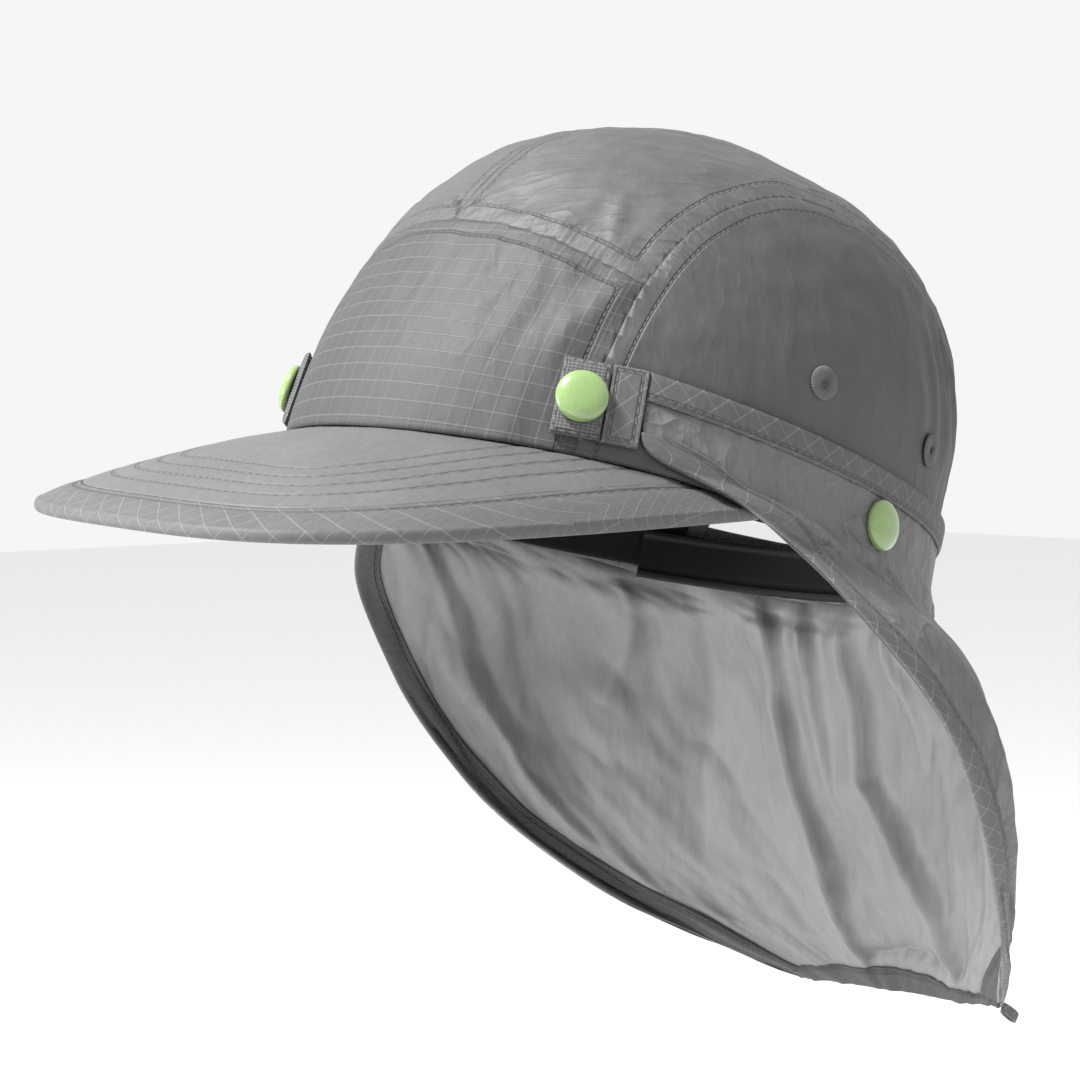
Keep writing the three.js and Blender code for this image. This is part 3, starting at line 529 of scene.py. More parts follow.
@dataclass
class CrownForm:
    """The crown's surface in its worn frame: the opening level, the front towards -Y."""

    half_width: float = 82.0
    front: float = 103.0
    rear: float = 91.5
    height: float = 112.0
    wall: float = 1.2
    pitch: float = 13.7
    seam_x: float = 57.0
    seam_top: float = 69.0
    seam_tilt: float = 36.0
    joint_angle: float = 70.0
    joint_arch: float = 7.0
    corner_height: float = 3.5

    def __post_init__(self) -> None:
        """Tables of the sections, as shares of the plain ellipse."""
        self.shares = np.array([
            (1, 1, 1), (0.985, 1.02, 1.065), (0.967, 1.074, 1.145), (0.987, 1.09, 1.168),
            (1.008, 1.073, 1.103), (1.001, 1.019, 1.039), (1, 1, 1),
        ])
        self.move = STRAIGHT @ Matrix.Rotation(-math.radians(self.pitch), 4, "X")

    def hat(self, points: Grid) -> Grid:
        """Points of the worn frame in the hat's frame, in millimetres."""
        c, s = math.cos(math.radians(self.pitch)), math.sin(math.radians(self.pitch))
        x, y, z = np.moveaxis(points, -1, 0)
        return np.stack([x, y * c + z * s, z * c - y * s], axis=-1)

    def surface(self, around: Grid, rise: Grid) -> Grid:
        """The outside at an angle round from the front and a rise from the opening.

        Args:
            around: angles round from the front.
            rise: angles up from the opening.

        Returns:
            The points, in millimetres.
        """
        lift = np.maximum(rise, 0)
        share = smooth_column(self.shares, lift / (math.pi / 2) * 6)

        def reach(opening: Grid, column: int) -> Grid:
            """The section's half size where the opening has this one."""
            return share[..., column] / np.hypot(np.cos(lift) / opening, np.sin(lift) / self.height)

        ahead = np.cos(around) > 0
        along = np.where(ahead, reach(self.front, 0), reach(self.rear, 2))
        radius = 1 / np.hypot(np.sin(around) / reach(self.half_width, 1), np.cos(around) / along)
        flat = radius * np.cos(lift)
        up = np.where(rise < 0, radius * rise, radius * np.sin(lift))
        return np.stack([flat * np.sin(around), -flat * np.cos(around), up], axis=-1)

    def normal(self, around: Grid, rise: Grid) -> Grid:
        """The outside's unit normal.

        Args:
            around: angles round from the front.
            rise: angles up from the opening.

        Returns:
            The normals.
        """
        step = 0.002
        low = np.minimum(rise, math.pi / 2 - 2 * step)
        a = self.surface(around + step, low) - self.surface(around - step, low)
        b = self.surface(around, low + step) - self.surface(around, low - step)
        return unit(np.cross(a, b))

    def rise_at(self, around: Grid, height: Grid) -> Grid:
        """The rise where the crown reaches a height.

        Args:
            around: angles round from the front.
            height: millimetres over the opening.

        Returns:
            The angles up from the opening.
        """
        zero = np.zeros_like(around * height)
        rise = halve(lambda place: self.surface(around, place)[..., 2] < height, zero, zero + math.radians(80), 26)
        foot = np.linalg.norm(self.surface(around, zero)[..., :2], axis=-1)
        return np.where(height <= 0, height / foot, rise)

    def on(self, around: Grid, height: Grid, off: Grid) -> Grid:
        """A point at an angle and height, off the crown's outside.

        Args:
            around: angles round from the front.
            height: millimetres over the opening.
            off: millimetres out from the crown.

        Returns:
            The points.
        """
        around, height = np.broadcast_arrays(np.asarray(around, float), np.asarray(height, float))
        rise = self.rise_at(around, height)
        off = np.broadcast_to(np.asarray(off, float), around.shape)
        return self.surface(around, rise) + off[..., None] * self.normal(around, rise)

    def joint(self, around: Grid) -> Grid:
        """The visor joint's height at an angle."""
        share = np.minimum(np.abs(around) / math.radians(self.joint_angle), 1)
        return self.corner_height + (self.joint_arch - self.corner_height) * (1 - share**4)

    def edge(self, around: Grid) -> Grid:
        """The crown's lower edge at an angle."""
        past = np.abs(around) / math.radians(self.joint_angle) - 1
        return (self.joint(around) + 0.3) * np.clip(1 - 8 * (past - 0.04), 0, 1)


CROWN = CrownForm()

# Finishes

UPRIGHT = (1.0, 1.0, 3.5)
# the side panels' and the top panels' cloth are one cloth: the top panels' higher level is painted light, the top lit
# and shining more than the sides
SHELL = Nylon("shell_cloth", 0.052, 0.24, UPRIGHT, rows=(5.6,), pucker=0.4)
TOP_LIT = Nylon("top_cloth_lit", 0.066, 0.55, (5.5, 1.0, 1.0), 50.0, rows=(5.5,), pucker=0.3)
BROW = Nylon(
    "brow_ripstop", 0.044, 0.16, UPRIGHT, squares=(5.3, 5.1), lines=0.5, thick=0.03, rows=(4.8,), rough=0.66,
    pucker=0.3,
)
PEAK = Nylon("peak_cloth", 0.096, 0.03, rows=(20.0, 26.3, 32.6, 38.9), stitch=3.2, pucker=0.1)
TAPE = Nylon("peak_tape", 0.08, 0.03, squares=(5.6, 5.6), slant=True, rows=(9.6,), rough=0.66, pucker=0.12)
FLAP_OUT = Nylon("flap_cloth", 0.105, 0.9, (1.0, 1.0, 1.6), rough=0.52)
# the flap's inner face: the same cloth as the outer, painted lighter, painted light for the light that shines through
# the thin cloth and falls on its inside
FLAP_IN_LIT = Nylon("flap_inside_lit", 0.138, 0.14, (1.0, 1.0, 2.4), rough=0.55)
HEM = Nylon("hem_tape", 0.088, 0.05, squares=(5.6, 5.6), slant=True, lines=0.5, rows=(5.6,), rough=0.68, pucker=0.2)
# the tape's inner face: the same tape as the outer, painted darker with fainter lines, painted shade on its inside
HEM_IN_SHADED = Nylon("hem_inside_shaded", 0.03, 0.05, squares=(5.6, 5.6), slant=True, lines=0.2, rows=(5.6,), rough=0.68, pucker=0.2)
STRIP = Nylon("strip_tape", 0.074, 0.06, squares=(5.2, 5.2), slant=True, lines=0.5, rows=(6.1,), rough=0.66, pucker=0.2)
RIPSTOP = Nylon("tab_ripstop", 0.085, 0.05, squares=(5.0, 5.0), slant=True, rows=(1.4,), rough=0.66, pucker=0.2)
WEBBING = Nylon(
    "tab_webbing", 0.055, 0.02, squares=(1.15, 0.85), lines=0.8, thick=0.15, rows=(0.7,), rough=0.7, thread=2.6,
    pucker=0.1,
)
THREAD = Nylon("eyelet_thread", 0.085, 0.04, rough=0.6)
TERRY = Plain("terry_band", (0.01, 0.01, 0.012, 1.0), 0.95, pile=0.35, scale=700.0)
MOULDED = Plain("strap_plastic", (0.008, 0.008, 0.009, 1.0), 0.6, pile=0.01)
LACQUER = Plain("cap_lacquer", (0.205, 0.315, 0.108, 1.0), 0.2, coat=0.8, pile=0.0, shine=0.5)


@dataclass
class Crown:
    """The five panels of the crown with their seams, and the stitched air holes."""

    form: CrownForm
    columns: int = 360
    rows: int = 104
    arch_half: float = 47.0
    arch_height: float = 46.0
    air: tuple = ((81.5, 40.3), (118.0, 33.4))
    air_radius: float = 2.3
    groove: float = 0.15
    groove_width: float = 2.2
    pucker: float = 0.11
    least_lift: float = -1.1
    most_lift: float = 1.2

    def foot(self, around: Grid) -> Grid:
        """The rise of the lower edge, over the joint and round the back opening.

        Args:
            around: angles round from the front.

        Returns:
            The angles up from the opening.
        """
        rise = self.form.rise_at(around, self.form.edge(around))
        top = self.form.rise_at(around, np.full_like(around, self.arch_height + 2))

        def inside(place: Grid) -> Grid:
            """Tells which places lie in the back opening."""
            p = self.form.surface(around, place)
            return (p[..., 0] / self.arch_half) ** 2 + (p[..., 2] / self.arch_height) ** 2 < 1

        return np.where(np.cos(around) < 0, halve(inside, rise, np.maximum(top, rise), 26), rise)

    def seams(self, p: Grid, n: Grid) -> tuple[Grid, Grid]:
        """Millimetres along and away from the nearest seam over the surface.

        Args:
            p: points of the crown.
            n: their normals.

        Returns:
            Both distances.
        """
        f = self.form
        x = np.abs(p[..., 0])
        side = (x - f.seam_x) / np.sqrt(np.maximum(1 - n[..., 0] ** 2, 0.12))
        tilt = math.radians(f.seam_tilt)
        plane = np.array([0, math.sin(tilt), math.cos(tilt)])
        top = f.on(0.0, f.seam_top, 0.0)
        lean = np.sqrt(np.maximum(1 - (n @ plane) ** 2, 0.12))
        brow = ((p - top) @ plane) / lean
        turn = np.arctan2(p[..., 2], -p[..., 1]) * 100
        middle = np.where((side < 0) & (brow > 0), x + 2.4, 99)
        gaps = np.stack([np.abs(side), np.where(side < 0, np.abs(brow), 99), middle])
        runs = np.stack([turn, p[..., 0] * 1.15, turn * 1.02])
        pick = gaps.argmin(axis=0)[None]
        return np.take_along_axis(runs, pick, 0)[0], np.take_along_axis(gaps, pick, 0)[0]

    def relief(self, p: Grid, along: Grid, away: Grid) -> Grid:
        """How far seams, puckers and crinkles lift the cloth.

        Args:
            p: points of the crown.
            along: millimetres along the nearest seam.
            away: millimetres away from it.

        Returns:
            The lift, in millimetres.
        """
        groove = -self.groove * np.exp(-((away / self.groove_width) ** 2))
        knots = np.stack([along / 5.5, away / 16, away * 0], axis=-1)
        pucker = self.pucker * ripple(knots, 1.0, 7.3) * np.exp(-((away / 9) ** 2))
        brow = (np.abs(p[..., 0]) < self.form.seam_x) & (p[..., 1] < -20) & (p[..., 2] < 78)
        aloft = np.clip(p[..., 2] / 100, 0, 1)
        broad = 0.9 * ripple(p, 26, 2.0, (1, 0.6, 1)) + 0.45 * ripple(p, 10, 5.0, (0.6, 1.0, 1.5))
        crease = -np.abs(ripple(p, 15, 11.0, (0.7, 1.0, 1.3))) * 0.8 + 0.25
        rumple = (broad + crease) * np.where(brow, 0.25, 0.4 + 0.6 * aloft)
        aft = np.clip((p[..., 1] - 25) / 30, 0, 1) * np.clip((95 - p[..., 2]) / 30, 0, 1)
        upright = 0.9 - np.abs(ripple(p, 8.5, 17.0, (1.0, 1.0, 0.22))) * 3.0
        rumple += upright * np.maximum(aft * 0.9, np.where(brow, 0.42, 0.12))
        ridge = away_from(p, np.array([(44.0, -88.0, 8.0), (47.0, -78.0, 34.0), (54.0, -62.0, 56.0)]))
        rumple += 1.1 * np.exp(-((ridge / 4.5) ** 2)) - 0.5 * np.exp(-(((ridge - 9) / 4) ** 2)) * (p[..., 0] > 30)
        calm = 1 - 0.6 * np.exp(-((away / 3) ** 2))
        low = np.clip((p[..., 2] - 26) / 14, 0.0, 1)
        return groove + pucker + rumple * calm * (0.2 + 0.8 * low)

    def dome(self) -> tuple[Grid, dict]:
        """The whole dressed crown as a grid with its charts."""
        base = np.linspace(-math.pi, math.pi, self.columns + 1)
        foot = self.form.surface(base, base * 0)
        half = self.columns // 2
        corner = float(np.interp(-self.arch_half, -foot[half:, 0][::-1], base[half:][::-1]))
        near = corner + np.array([-0.004, -0.001, 0.0, 0.002, 0.006, 0.011])
        around = np.unique(np.concatenate([base, near, -near]))
        low = self.foot(around)
        share = np.linspace(0, 1, self.rows + 1)[:, None]
        rise = low + (math.pi / 2 - low) * share
        around = np.broadcast_to(around, rise.shape)
        p, n = self.form.surface(around, rise), self.form.normal(around, rise)
        along, away = self.seams(p, n)
        lift = np.clip(self.relief(p, along, away), self.least_lift, self.most_lift)
        points = p + n * lift[..., None]
        return points, charts(p[..., 0] * 1.06, rise * 104, along, away)

    def panel(self, name: str, keep: list, finish: Nylon) -> None:
        """Cuts one panel from the dome.

        Args:
            name: its CAD node.
            keep: planes as a point and a direction that points out of the panel.
            finish: its cloth.
        """
        bm = weave(*self.cloth)
        for point, out in keep:
            parts = bm.verts[:] + bm.edges[:] + bm.faces[:]
            bmesh.ops.bisect_plane(bm, geom=parts, dist=0.0005, plane_co=point, plane_no=out, clear_outer=True)
        middles = {face: face.calc_center_median() for face in bm.faces}
        pierced = [f for f, at in middles.items() if any((at - hole).length < self.air_radius for hole in self.holes)]
        bmesh.ops.delete(bm, geom=pierced, context="FACES")
        bmesh.ops.remove_doubles(bm, verts=bm.verts[:], dist=0.004)
        made = piece(name + "_cloth", bm, self.form.move, [finish], name)
        wall(made, self.form.wall)

    def eyelet(self, name: str, angle: float, height: float, side: int) -> None:
        """A sewn air hole: thread wound round a ring.

        Args:
            name: its CAD node.
            angle: degrees round from the front.
            height: millimetres over the opening.
            side: 1 on the wearer's left, -1 on the right.
        """
        around = np.array(math.radians(angle) * side)
        rise = self.form.rise_at(around, np.array(height))
        n = Vector(self.form.normal(around, rise))
        turn = np.linspace(0, 2 * math.pi, 289)[None, :]
        round_ = np.linspace(0, 2 * math.pi, 13)[:, None]
        ridge = 0.2 * np.abs(np.sin(turn * 18))
        out = 2.8 + (1.7 + ridge) * np.cos(round_)
        ring = np.stack([out * np.cos(turn), out * np.sin(turn), (0.5 + ridge) * np.sin(round_)], -1)
        bm = skin(ring, {"cloth": np.zeros(ring.shape[:2] + (2,))})
        stand(bm, Vector(self.form.surface(around, rise)) + n * 0.45, n)
        piece(name + "_thread", bm, self.form.move, [THREAD], name)

    def build(self) -> None:
        """Makes the five panels and the four air holes."""
        self.cloth = self.dome()
        places = [(s * math.radians(a), h) for s in (1, -1) for a, h in self.air]
        self.holes = [Vector(self.form.on(around, height, 0.0)) for around, height in places]
        f = self.form
        tilt = math.radians(f.seam_tilt)
        rise, top = Vector((0, math.sin(tilt), math.cos(tilt))), Vector(f.on(0.0, f.seam_top, 0.0))
        x, gap = Vector((1, 0, 0)), 0.01
        left, right = x * (f.seam_x - gap), x * (gap - f.seam_x)
        self.panel("front_panel", [(left, x), (right, -x), (top - rise * gap, rise)], BROW)
        self.panel("top_panel_left", [(left, x), (x * gap, -x), (top + rise * gap, -rise)], TOP_LIT)
        self.panel("top_panel_right", [(right, -x), (x * -gap, x), (top + rise * gap, -rise)], TOP_LIT)
        self.panel("side_panel_left", [(x * (f.seam_x + gap), -x)], SHELL)
        self.panel("side_panel_right", [(x * -(f.seam_x + gap), x)], SHELL)
        for side, name in ((1, "left"), (-1, "right")):
            for place, spot in zip(("side_", "rear_"), self.air):
                self.eyelet("eyelet_" + place + name, *spot, side)


@dataclass
class Visor:
    """The curved peak with its rows of stitching and its edge tape."""

    form: CrownForm
    reach: float = 146.0
    half_width: float = 82.0
    fullness: float = 3.0
    slope: float = 13.6
    lean: float = 3.1
    camber: float = 5.0
    wall: float = 3.0
    tape: float = 11.5
    tape_wall: float = 3.6

    def joint(self, across: Grid, inset: float) -> Grid:
        """The line where the peak meets the crown.

        Args:
            across: places along it, from -1 to 1.
            inset: millimetres out from the crown.

        Returns:
            The points.
        """
        around = across * math.radians(self.form.joint_angle)
        height = self.form.joint(around)
        p = self.form.on(around, height, inset)
        p[..., 2] = height
        return p

    def rim(self, across: Grid) -> Grid:
        """The free edge.

        Args:
            across: places along it, from -1 to 1.

        Returns:
            The points.
        """
        turn = across * math.pi / 2
        power = 2 / self.fullness
        x = self.half_width * np.sign(turn) * np.abs(np.sin(turn)) ** power
        ahead = self.reach * np.maximum(np.cos(turn), 0) ** power
        corner = self.joint(np.array(1.0), 0.0)
        slope = math.radians(self.slope)
        lean = x * math.tan(math.radians(self.lean)) * ahead / self.reach
        return np.stack([x, corner[1] - ahead * math.cos(slope), corner[2] - ahead * math.sin(slope) - lean], -1)

    def top(self, across: Grid, share: Grid) -> Grid:
        """The upper side at a share of the way from the joint to the rim.

        Args:
            across: places along the joint, from -1 to 1.
            share: how far out.

        Returns:
            The points.
        """
        across, share = np.broadcast_arrays(across, share)
        a, b = self.joint(across, -0.6), self.rim(across)
        length = np.linalg.norm(b - a, axis=-1)
        p = a + (b - a) * share[..., None]
        p[..., 2] += self.camber * 4 * share * (1 - share) * length / self.reach
        return p

    def inner(self, across: Grid, distance: float) -> Grid:
        """The share at which a distance to the rim is left."""
        line = self.rim(np.linspace(-1, 1, 241))
        return short_of(lambda share: self.top(across, share), line, distance, 18, across)

    def closed(
        self, across: Grid, first: Grid, last: Grid, thick: float, steps: int, bulge: float
    ) -> tuple[Grid, dict]:
        """A board's closed skin: over its top, round its edge and back under it.

        Args:
            across: places along the joint, from -1 to 1.
            first: the shares from joint to rim where it starts.
            last: the shares where it ends.
            thick: its thickness.
            steps: rows over its top.
            bulge: how far its edge is rounded out.

        Returns:
            The points and their UV maps.
        """
        upper = first + (last - first) * np.linspace(0, 1, steps)[:, None]
        turn = np.linspace(0, math.pi, 9)[1:-1, None]
        edge, none = 0 * (last + turn), 0 * upper
        p = self.top(across[None], np.concatenate([upper, last + edge, upper[::-1], upper[:1]]))
        out = self.top(across[None], np.array([[1.0]])) - self.top(across[None], np.array([[0.94]]))
        out[..., 2] = 0
        drop = np.concatenate([none, (1 - np.cos(turn)) / 2 + edge, none + 1, none[:1]])
        swell = np.concatenate([none, np.sin(turn) + edge, none, none[:1]])
        away = away_from(p, self.rim(np.linspace(-1, 1, 241)))
        p = p + unit(out) * (swell * bulge)[..., None]
        p[..., 2] -= drop * thick
        along = run_length(self.rim(across)[None], 1)
        return p, charts(along, run_length(p, 0), along, away)

    def build(self) -> None:
        """Makes the board's cloth and the tape."""
        across = np.sin(np.linspace(-1, 1, 201) * math.pi / 2)
        shallow = self.inner(across, self.tape + 0.3)
        keep = shallow > 0.05
        across, shallow = across[keep], shallow[keep]
        points, maps = self.closed(across, shallow * 0, shallow, self.wall, 60, 0.0)
        rows = maps["seam"][..., 1]
        dips = sum(np.exp(-(((rows - row) / 0.9) ** 2)) for row in PEAK.rows)
        soft = 0.25 * ripple(points, 22, 4.0) + 0.1 * ripple(points, 7, 9.0, (1.6, 0.6, 1))
        points[:60, :, 2] += (soft - 0.22 * dips)[:60]
        points[-1] = points[0]
        piece("visor_cloth", skin(points, maps), self.form.move, [PEAK], "visor")
        across = np.sin(np.linspace(-1, 1, 261) * math.pi / 2)
        start = np.maximum(self.inner(across, self.tape), 0.02)
        points, maps = self.closed(across, start, np.ones_like(start), self.tape_wall, 14, 1.3)
        away = maps["seam"][..., 1]
        puff = 0.5 * np.exp(-(((away - 5.5) / 4.5) ** 2)) - 0.35 * np.exp(-(((away - 9.6) / 0.8) ** 2))
        points[:14, :, 2] += puff[:14]
        points[-1] = points[0]
        piece("visor_tape", skin(points, maps), self.form.move, [TAPE], "visor_binding")


@dataclass
class Fittings:
    """What is laid on the crown: sweatband, size straps, strip, tabs, webbing and snaps."""

    form: CrownForm
    arch_half: float = 47.0
    tab_angle: float = 44.3
    tab_width: float = 9.4
    tab_height: float = 21.0
    tab_middle: float = 21.5
    webbing_width: float = 12.6
    webbing_height: float = 20.5
    strip_width: float = 7.6
    strip_front: float = 28.0
    strip_back: float = 9.0
    strip_fall: float = 1.2

    def per_mm(self, around: float, height: float) -> float:
        """The angle that a millimetre takes along the crown."""
        a, b = self.form.on(around + 0.01, height, 0.0), self.form.on(around, height, 0.0)
        return 0.01 / float(np.linalg.norm(a - b))

    def behind(self, across: float) -> float:
        """The angle behind the middle where the rim is this far out."""
        turns = np.linspace(math.pi / 2, math.pi, 2000)
        x = self.form.surface(turns, turns * 0)[:, 0]
        return float(np.interp(-across, -x, turns))

    def band(
        self, name: str, ends: tuple, heights: tuple, off: Callable, finish: object, node: str, slot: str, size: tuple
    ) -> None:
        """A closed band that follows the crown.

        Args:
            name: the piece's name.
            ends: its first and last angle.
            heights: its lower and upper edge, as numbers or functions of the angle.
            off: standoffs of its outer and inner face from the shares across and up.
            finish: its finish.
            node: its CAD node.
            slot: not used.
            size: steps round and up.
        """
        turn = np.linspace(ends[0], ends[1], size[0])[None, :]
        up = (1 - np.cos(np.linspace(0, math.pi, size[1]))) / 2
        low, high = (h(turn) if callable(h) else np.full_like(turn, h) for h in heights)
        share = np.concatenate([up, up[::-1], up[:1]])[:, None]
        outer, inner = off(np.linspace(0, 1, size[0])[None, :], up[:, None])
        reach = np.concatenate([outer, inner[::-1], outer[:1]])
        points = self.form.on(turn + 0 * share, low + (high - low) * share, reach)
        width = (high - low) * share
        along = run_length(self.form.on(turn, (low + high) / 2, 0.0), 1)
        hidden = FAR * (1 - np.concatenate([up * 0 + 1, up * 0, [1]])[:, None])
        if name == "strip_tape":
            maps = charts(along, width, along, (high - low) - width + hidden)
        else:
            hem = np.minimum(np.minimum(width, (high - low) - width), np.minimum(along, along.max() - along))
            maps = charts(along, width, along + width * 0.9, hem + hidden)
        piece(name, skin(points, maps), self.form.move, [finish], node)

    @staticmethod
    def round_off(share: Grid, edge: float = 0.12) -> Grid:
        """1 in the middle of a width, falling at its two edges."""
        near = np.clip(np.minimum(share, 1 - share) / edge, 0, 1)
        return np.sqrt(1 - (1 - near) ** 2)

    def slab(self, inner: float, outer: float, edge: float = 0.12, wave: float = 0.0) -> Callable:
        """Standoffs of a flat band with rounded edges.

        Args:
            inner: the inner face's, in millimetres.
            outer: the outer face's.
            edge: the share of the width that each edge takes.
            wave: how far the outer face waves, below 0 for a band with square ends.

        Returns:
            A function of the shares across and up that gives the outer and the inner standoff.
        """

        def off(across: Grid, up: Grid) -> tuple[Grid, Grid]:
            """The outer and inner standoffs."""
            soft = self.round_off(up, edge) + 0 * across
            ends = self.round_off(across, edge * 0.12) if wave >= 0 else 1.0
            middle = (inner + outer) / 2
            lift = wave * np.sin(across * 61) * 0.3 + wave * np.sin(across * 23 + 1)
            return middle + (outer - middle) * soft * (0.35 + 0.65 * ends) + lift, middle + (inner - middle) * soft

        return off

    def strap_face(self, across: Grid, up: Grid) -> tuple[Grid, Grid]:
        """Standoffs of the inner strap with its raised lips."""
        lip = np.clip((np.abs(up - 0.5) - 0.33) / 0.04, 0, 1)
        return -3.4 + 0 * (across + up), -5.0 - 0.85 * lip * self.round_off(up, 0.05) + 0 * across

    def tab_end(self) -> float:
        """The angle of the tab's rear edge."""
        middle = math.radians(self.tab_angle)
        return middle + self.tab_width / 2 * self.per_mm(middle, self.tab_middle)

    def strip_height(self, around: Grid) -> Grid:
        """The height of the strip's middle."""
        share = (np.abs(around) - self.tab_end()) / (math.pi - self.tab_end())
        left = np.maximum(1 - share, 0) ** self.strip_fall
        return self.strip_back + (self.strip_front - self.strip_back) * left

    def cap(self, name: str, seat: Vector, normal: Vector, move: Matrix) -> None:
        """A snap cap turned from its profile: low dome, rolled rim, flat seat.

        Args:
            name: its CAD node.
            seat: where it sits.
            normal: where it faces.
            move: from the seat's frame to the hat's, in metres.
        """
        rim = [(0, 0), (5.6, 0), (6.6, 0.05), (6.95, 0.5), (7.0, 1.1), (6.85, 1.6), (6.5, 2.0), (6.1, 2.3)]
        dome = [(5.4, 2.75), (4.2, 3.2), (2.6, 3.5), (0, 3.6)]
        bm = bmesh.new()
        chain = [bm.verts.new((r, 0, h)) for r, h in rim + dome]
        edges = [bm.edges.new(pair) for pair in zip(chain, chain[1:])]
        turn = {"cent": (0, 0, 0), "axis": (0, 0, 1), "dvec": (0, 0, 0), "angle": 2 * math.pi}
        bmesh.ops.spin(bm, geom=chain + edges, steps=64, use_merge=True, **turn)
        seal(bm)
        stand(bm, seat, normal)
        made = piece(name + "_cap", bm, move, [LACQUER], name)
        round_up = made.modifiers.new("round", "SUBSURF")
        round_up.levels = round_up.render_levels = 1

    def inside(self) -> None:
        """Makes the sweatband and the two size straps."""
        terry, strap = self.slab(-2.8, -1.55, 0.05), self.slab(-3.05, -1.55, 0.1)
        end, first, start = (self.behind(self.arch_half + past) for past in (0.6, 0.3, 0.0))
        past, short = (size * self.per_mm(math.pi, 0.0) for size in (18.0, 14.0))
        self.band("sweatband_terry", (-end, end), (0.2, 28.0), terry, TERRY, "sweatband", "band", (300, 26))
        left, right = (first, math.pi + past), (-math.pi - past, short - start)
        for name, ends, off, rows in (("left", left, strap, 20), ("right", right, self.strap_face, 40)):
            node = "adjuster_strap_" + name
            self.band("strap_" + name, ends, (-3.0, 11.0), off, MOULDED, node, "strap", (90, rows))

    def strip(self) -> None:
        """Makes the strip that runs round the back from tab to tab."""
        begin = self.tab_end() + 0.3 * self.per_mm(self.tab_end(), self.strip_front)

        def lower(turn: Grid) -> Grid:
            """The strip's lower edge."""
            return self.strip_height(np.where(turn > math.pi, turn - 2 * math.pi, turn)) - self.strip_width / 2

        ends, edges = (begin, 2 * math.pi - begin), (lower, lambda turn: lower(turn) + self.strip_width)
        off = self.slab(0.75, 2.1, 0.25, 0.12)
        self.band("strip_tape", ends, edges, off, STRIP, "flap_top_strip", "binding", (420, 16))

    def patch(
        self, name: str, around: float, size: tuple, off: Callable, finish: Nylon, node: str, slot: str
    ) -> None:
        """A small patch at the tabs' height.

        Args:
            name: the piece's name.
            around: the angle of its middle.
            size: its width and height.
            off: standoffs of its outer and inner face.
            finish: its finish.
            node: its CAD node.
            slot: handed on to band.
        """
        half = size[0] / 2 * self.per_mm(abs(around), self.tab_middle)
        edges = (self.tab_middle - size[1] / 2, self.tab_middle + size[1] / 2)
        self.band(name, (around - half, around + half), edges, off, finish, node, slot, (40, 30))

    def front(self, side: int, name: str) -> None:
        """Makes one side's tab, webbing and front snap.

        Args:
            side: 1 on the wearer's left, -1 on the right.
            name: the side's name.
        """
        middle = math.radians(self.tab_angle)
        step = self.per_mm(middle, self.tab_middle)
        centre = middle - ((self.tab_width + self.webbing_width) / 2 + 0.3) * step
        tab, pad = self.slab(0.7, 2.2, 0.06, -0.01), self.slab(0.7, 2.6, 0.08, 0.03)
        size = (self.tab_width, self.tab_height)
        self.patch("tab_cloth_" + name, side * middle, size, tab, RIPSTOP, "tab_" + name, "ripstop")
        size = (self.webbing_width, self.webbing_height)
        self.patch("webbing_" + name, side * centre, size, pad, WEBBING, "tab_webbing_" + name, "webbing")
        around = np.array(side * centre)
        rise = self.form.rise_at(around, np.array(self.tab_middle))
        n = self.form.normal(around, rise)
        self.cap("snap_front_" + name, Vector(self.form.surface(around, rise) + n * 2.8), Vector(n), self.form.move)

    def build(self) -> None:
        """Makes everything that lies on or in the crown."""
        self.inside()
        self.strip()
        for side, name in ((1, "left"), (-1, "right")):
            self.front(side, name)


# the flap's sections on the crown: the side edge's angle and height, the back's height, both standoffs
ON_CROWN = (
    (1.09, 0.51, -0.015, 1.3, 1.2), (1.31, 0.33, -0.05, 1.6, 1.5), (1.49, 0.12, -0.085, 5.4, 2.1),
    (1.76, -0.2, -0.12, 3.6, 3.2),
)

# the sections below it: the side edge out, aft and down, the back aft and down, and the curve's two pulls
HANGING = (
    (0.9, -0.09, 0.106, 0.8, 0.4, 0.6, 0.76), (0.98, 0.046, 0.247, 0.82, 0.52, 0.45, 0.62),
    (1, 0.169, 0.389, 0.845, 0.62, 0.34, 0.52), (0.964, 0.286, 0.53, 0.875, 0.71, 0.27, 0.46),
    (0.876, 0.426, 0.671, 0.91, 0.8, 0.24, 0.45), (0.723, 0.617, 0.813, 0.95, 0.88, 0.15, 0.45),
    (0.565, 0.781, 0.905, 0.975, 0.94, 0.15, 0.45), (0.364, 0.987, 1, 1, 0.997, 0.2, 0.45),
)


@dataclass(frozen=True)
class Fold:
    """A fold along a line over the flap, in shares across and down, with its width and depth in millimetres."""

    line: tuple
    width: float
    depth: float
    steep: float = 1.0

    def push(self, across: Grid, down: Grid) -> Grid:
        """How far the fold moves the cloth outwards.

        Args:
            across: shares across the flap.
            down: shares down it.

        Returns:
            Millimetres.
        """
        scale = np.array([118.0, 150.0])
        line = np.array(self.line) * scale
        flat = np.stack([across, down], -1).reshape(-1, 1, 2) * scale
        share, gap = project(flat, line)
        near = gap.argmin(axis=1)
        row = np.arange(len(near))
        along = (near + share[row, near]) / gap.shape[1]
        ahead, lead = np.diff(line, axis=0)[near], flat[:, 0] - line[near]
        beyond = ahead[:, 1] * lead[:, 0] - ahead[:, 0] * lead[:, 1] > 0
        far = gap[row, near] / (self.width * np.where(beyond, self.steep, 1.0))
        lift = self.depth * (0.45 * np.exp(-(far**2)) + 0.55 * np.exp(-1.6 * far))
        lift *= np.sin(np.pi * np.clip(along, 0, 1)) ** 0.6
        return lift.reshape(across.shape)


